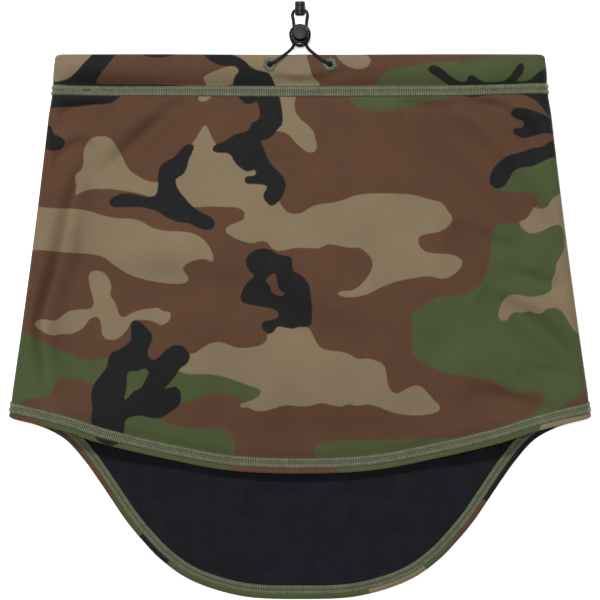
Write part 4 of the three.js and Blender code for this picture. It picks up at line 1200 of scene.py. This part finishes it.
def spring_wire():
    shader = Shader("spring_wire", 0.28, metallic=1.0)
    where = shader.object_mm()
    colour = shader.mix(shader.noise(where, 2.0), (0.5, 0.5, 0.52, 1), (0.68, 0.68, 0.7, 1))
    return shader.finish(colour, shader.bump(shader.noise(where, 9.0), 0.2, 0.00003))


# ---- The camera, lights and floor -------------------------------------------------------------------------
def camera():
    """Straight above, on a long lens, square on to the laid-out gaiter."""
    field, target = 315.8, (0, 14.4, 6)
    data = bpy.data.cameras.new("camera")
    data.lens, data.sensor_width = 200, 36
    data.clip_start, data.clip_end = 0.05, 20
    height = field * data.lens / data.sensor_width
    eye = bpy.data.objects.new("camera", data)
    eye.location = (target[0] * MM, target[1] * MM, (target[2] + height) * MM)
    bpy.context.scene.collection.objects.link(eye)
    bpy.context.scene.camera = eye


def area_light(name, where, size, power):
    """A round lamp, in metres and watts, aimed at the middle of the gaiter."""
    data = bpy.data.lights.new(name, "AREA")
    data.shape, data.size, data.energy = "DISK", size, power
    light = bpy.data.objects.new(name, data)
    light.location = where
    light.rotation_euler = (-Vector(where)).to_track_quat("-Z", "Y").to_euler()
    bpy.context.scene.collection.objects.link(light)


def studio():
    world = bpy.data.worlds.new("studio")
    world.use_nodes = True
    world.node_tree.nodes["Background"].inputs["Color"].default_value = (1, 1, 1, 1)
    world.node_tree.nodes["Background"].inputs["Strength"].default_value = 0.09
    bpy.context.scene.world = world
    area_light("overhead", (-0.1, 0.15, 2.3), 0.3, 20)
    area_light("key", (-0.35, 1.15, 1.75), 0.35, 28)
    area_light("fill", (0.3, -1.3, 1.2), 0.6, 3)
    shader = Shader("pale_floor", 0.9)
    shader.surface.inputs["Emission Color"].default_value = (1, 1, 1, 1)
    shader.surface.inputs["Emission Strength"].default_value = 0.6
    where = shader.object_mm()
    shader.finish(shader.mix(shader.noise(where, 0.01), (0.9, 0.9, 0.9, 1), (0.93, 0.93, 0.93, 1)))
    size, low = 2500, -0.65
    corners = [(-size, -size, low), (size, -size, low), (size, size, low), (-size, size, low)]
    floor = make_mesh("floor", corners, [(0, 1, 2, 3)], shader.material, smooth=False)
    bpy.context.scene.view_settings.view_transform = "Standard"


# ---- Assembly ---------------------------------------------------------------------------------------------
def finish_piece(piece, body, slot, *nodes):
    """Says what a piece rides on and the nodes that it takes the place of; its slot is not used."""
    if body:
        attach(piece, body)
    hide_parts(*nodes)
    return piece


def metres(points):
    return [tuple(float(v) * MM for v in p) for p in points]


def add_cords():
    black = cord_material()
    route = LEFT_ROUTE + [BACK_MIDDLE] + mirrored(LEFT_ROUTE)
    drawcord, line = braided_cord("drawcord_elastic", route, black)
    finish_piece(drawcord, None, "elastic_cord", "drawcord")
    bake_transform(drawcord)
    polyline_length(line) * MM
    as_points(metres(line))
    route = LEFT_LOOP + [LOOP_END] + mirrored(LEFT_LOOP)
    loop, loop_line = braided_cord("drawcord_end_loop", route, black)
    finish_piece(loop, None, "elastic_cord", "drawcord_loop")
    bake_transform(loop)
    polyline_length(loop_line) * MM
    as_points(metres(loop_line))
    return loop_line


def add_cloth():
    print_cloth, knit = printed_softshell(), knit_lining()
    for panel in ("front", "back"):
        face = finish_piece(printed_panel(panel, print_cloth), "gaiter", "printed_cloth", f"{panel}_panel")
        lining = finish_piece(knit_panel(panel, knit), "gaiter", "lining", f"{panel}_lining")


def add_stitching():
    sage = thread_material("sage_thread", srgb(108, 112, 84), srgb(156, 160, 127))
    looper = thread_material("looper_thread", srgb(98, 105, 77), srgb(140, 147, 114))
    eyelet_thread = thread_material("eyelet_thread", srgb(56, 68, 56), srgb(136, 146, 124))

    def run(zone, middle, *panels):
        return [band_place(panel, zone, middle) for panel in panels]

    bands = [
        ("neck_coverstitch", run("neck", NECK_STITCH, "front", "back"), STITCH_WIDTH, "neck_stitching"),
        ("front_hem_coverstitch", run("hem", HEM_STITCH, "front"), STITCH_WIDTH, "front_hem_stitching"),
        ("back_hem_coverstitch", run("hem", BIB_STITCH, "back"), BIB_WIDTH, "back_hem_stitching"),
    ]
    for name, runs, width, node in bands:
        outside = coverstitch(name, runs, False, sage, width)
        finish_piece(outside, "gaiter", "thread", f"{node}_outer")
        inside = coverstitch(f"{name}_inside", runs, True, looper, width)
        finish_piece(inside, "gaiter", "thread", f"{node}_inner")
    for word, side in (("left", -1), ("right", 1)):
        eyelet = sewn_eyelet(f"{word}_sewn_eyelet", side * EYELET_X, eyelet_thread)
        finish_piece(eyelet, "gaiter", "thread", f"{word}_eyelet")
        seam = overlocked_seam(f"{word}_overlocked_seam", side, sage)
        finish_piece(seam, "gaiter", "thread", f"{word}_side_seam")


def add_fittings(loop_line):
    glossy = moulded_black("glossy_black", 0.2, 0.32)
    satin = moulded_black("satin_black", 0.46, 0.54)
    finish_piece(lock_barrel(glossy), "cord_lock", "black_plastic", "lock_barrel")
    finish_piece(lock_button(textured_black()), "push_button", "black_plastic", "lock_button")
    spring = finish_piece(coil_spring(spring_wire()), "cord_lock", "spring_steel", "lock_spring")
    foot, head = placed(np.array([(0, 0, SPRING_LOW), (0, 0, SPRING_HIGH)]), *LOCK) * MM
    tuple(foot)
    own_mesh(spring)
    finish_piece(cord_end_body(satin, loop_line), "cord_end", "black_plastic", "cord_end_body")
    finish_piece(cord_end_cap(satin), "cord_end", "black_plastic", "cord_end_cap")


camera()
loop_line = add_cords()
add_cloth()
add_stitching()
add_fittings(loop_line)
studio()
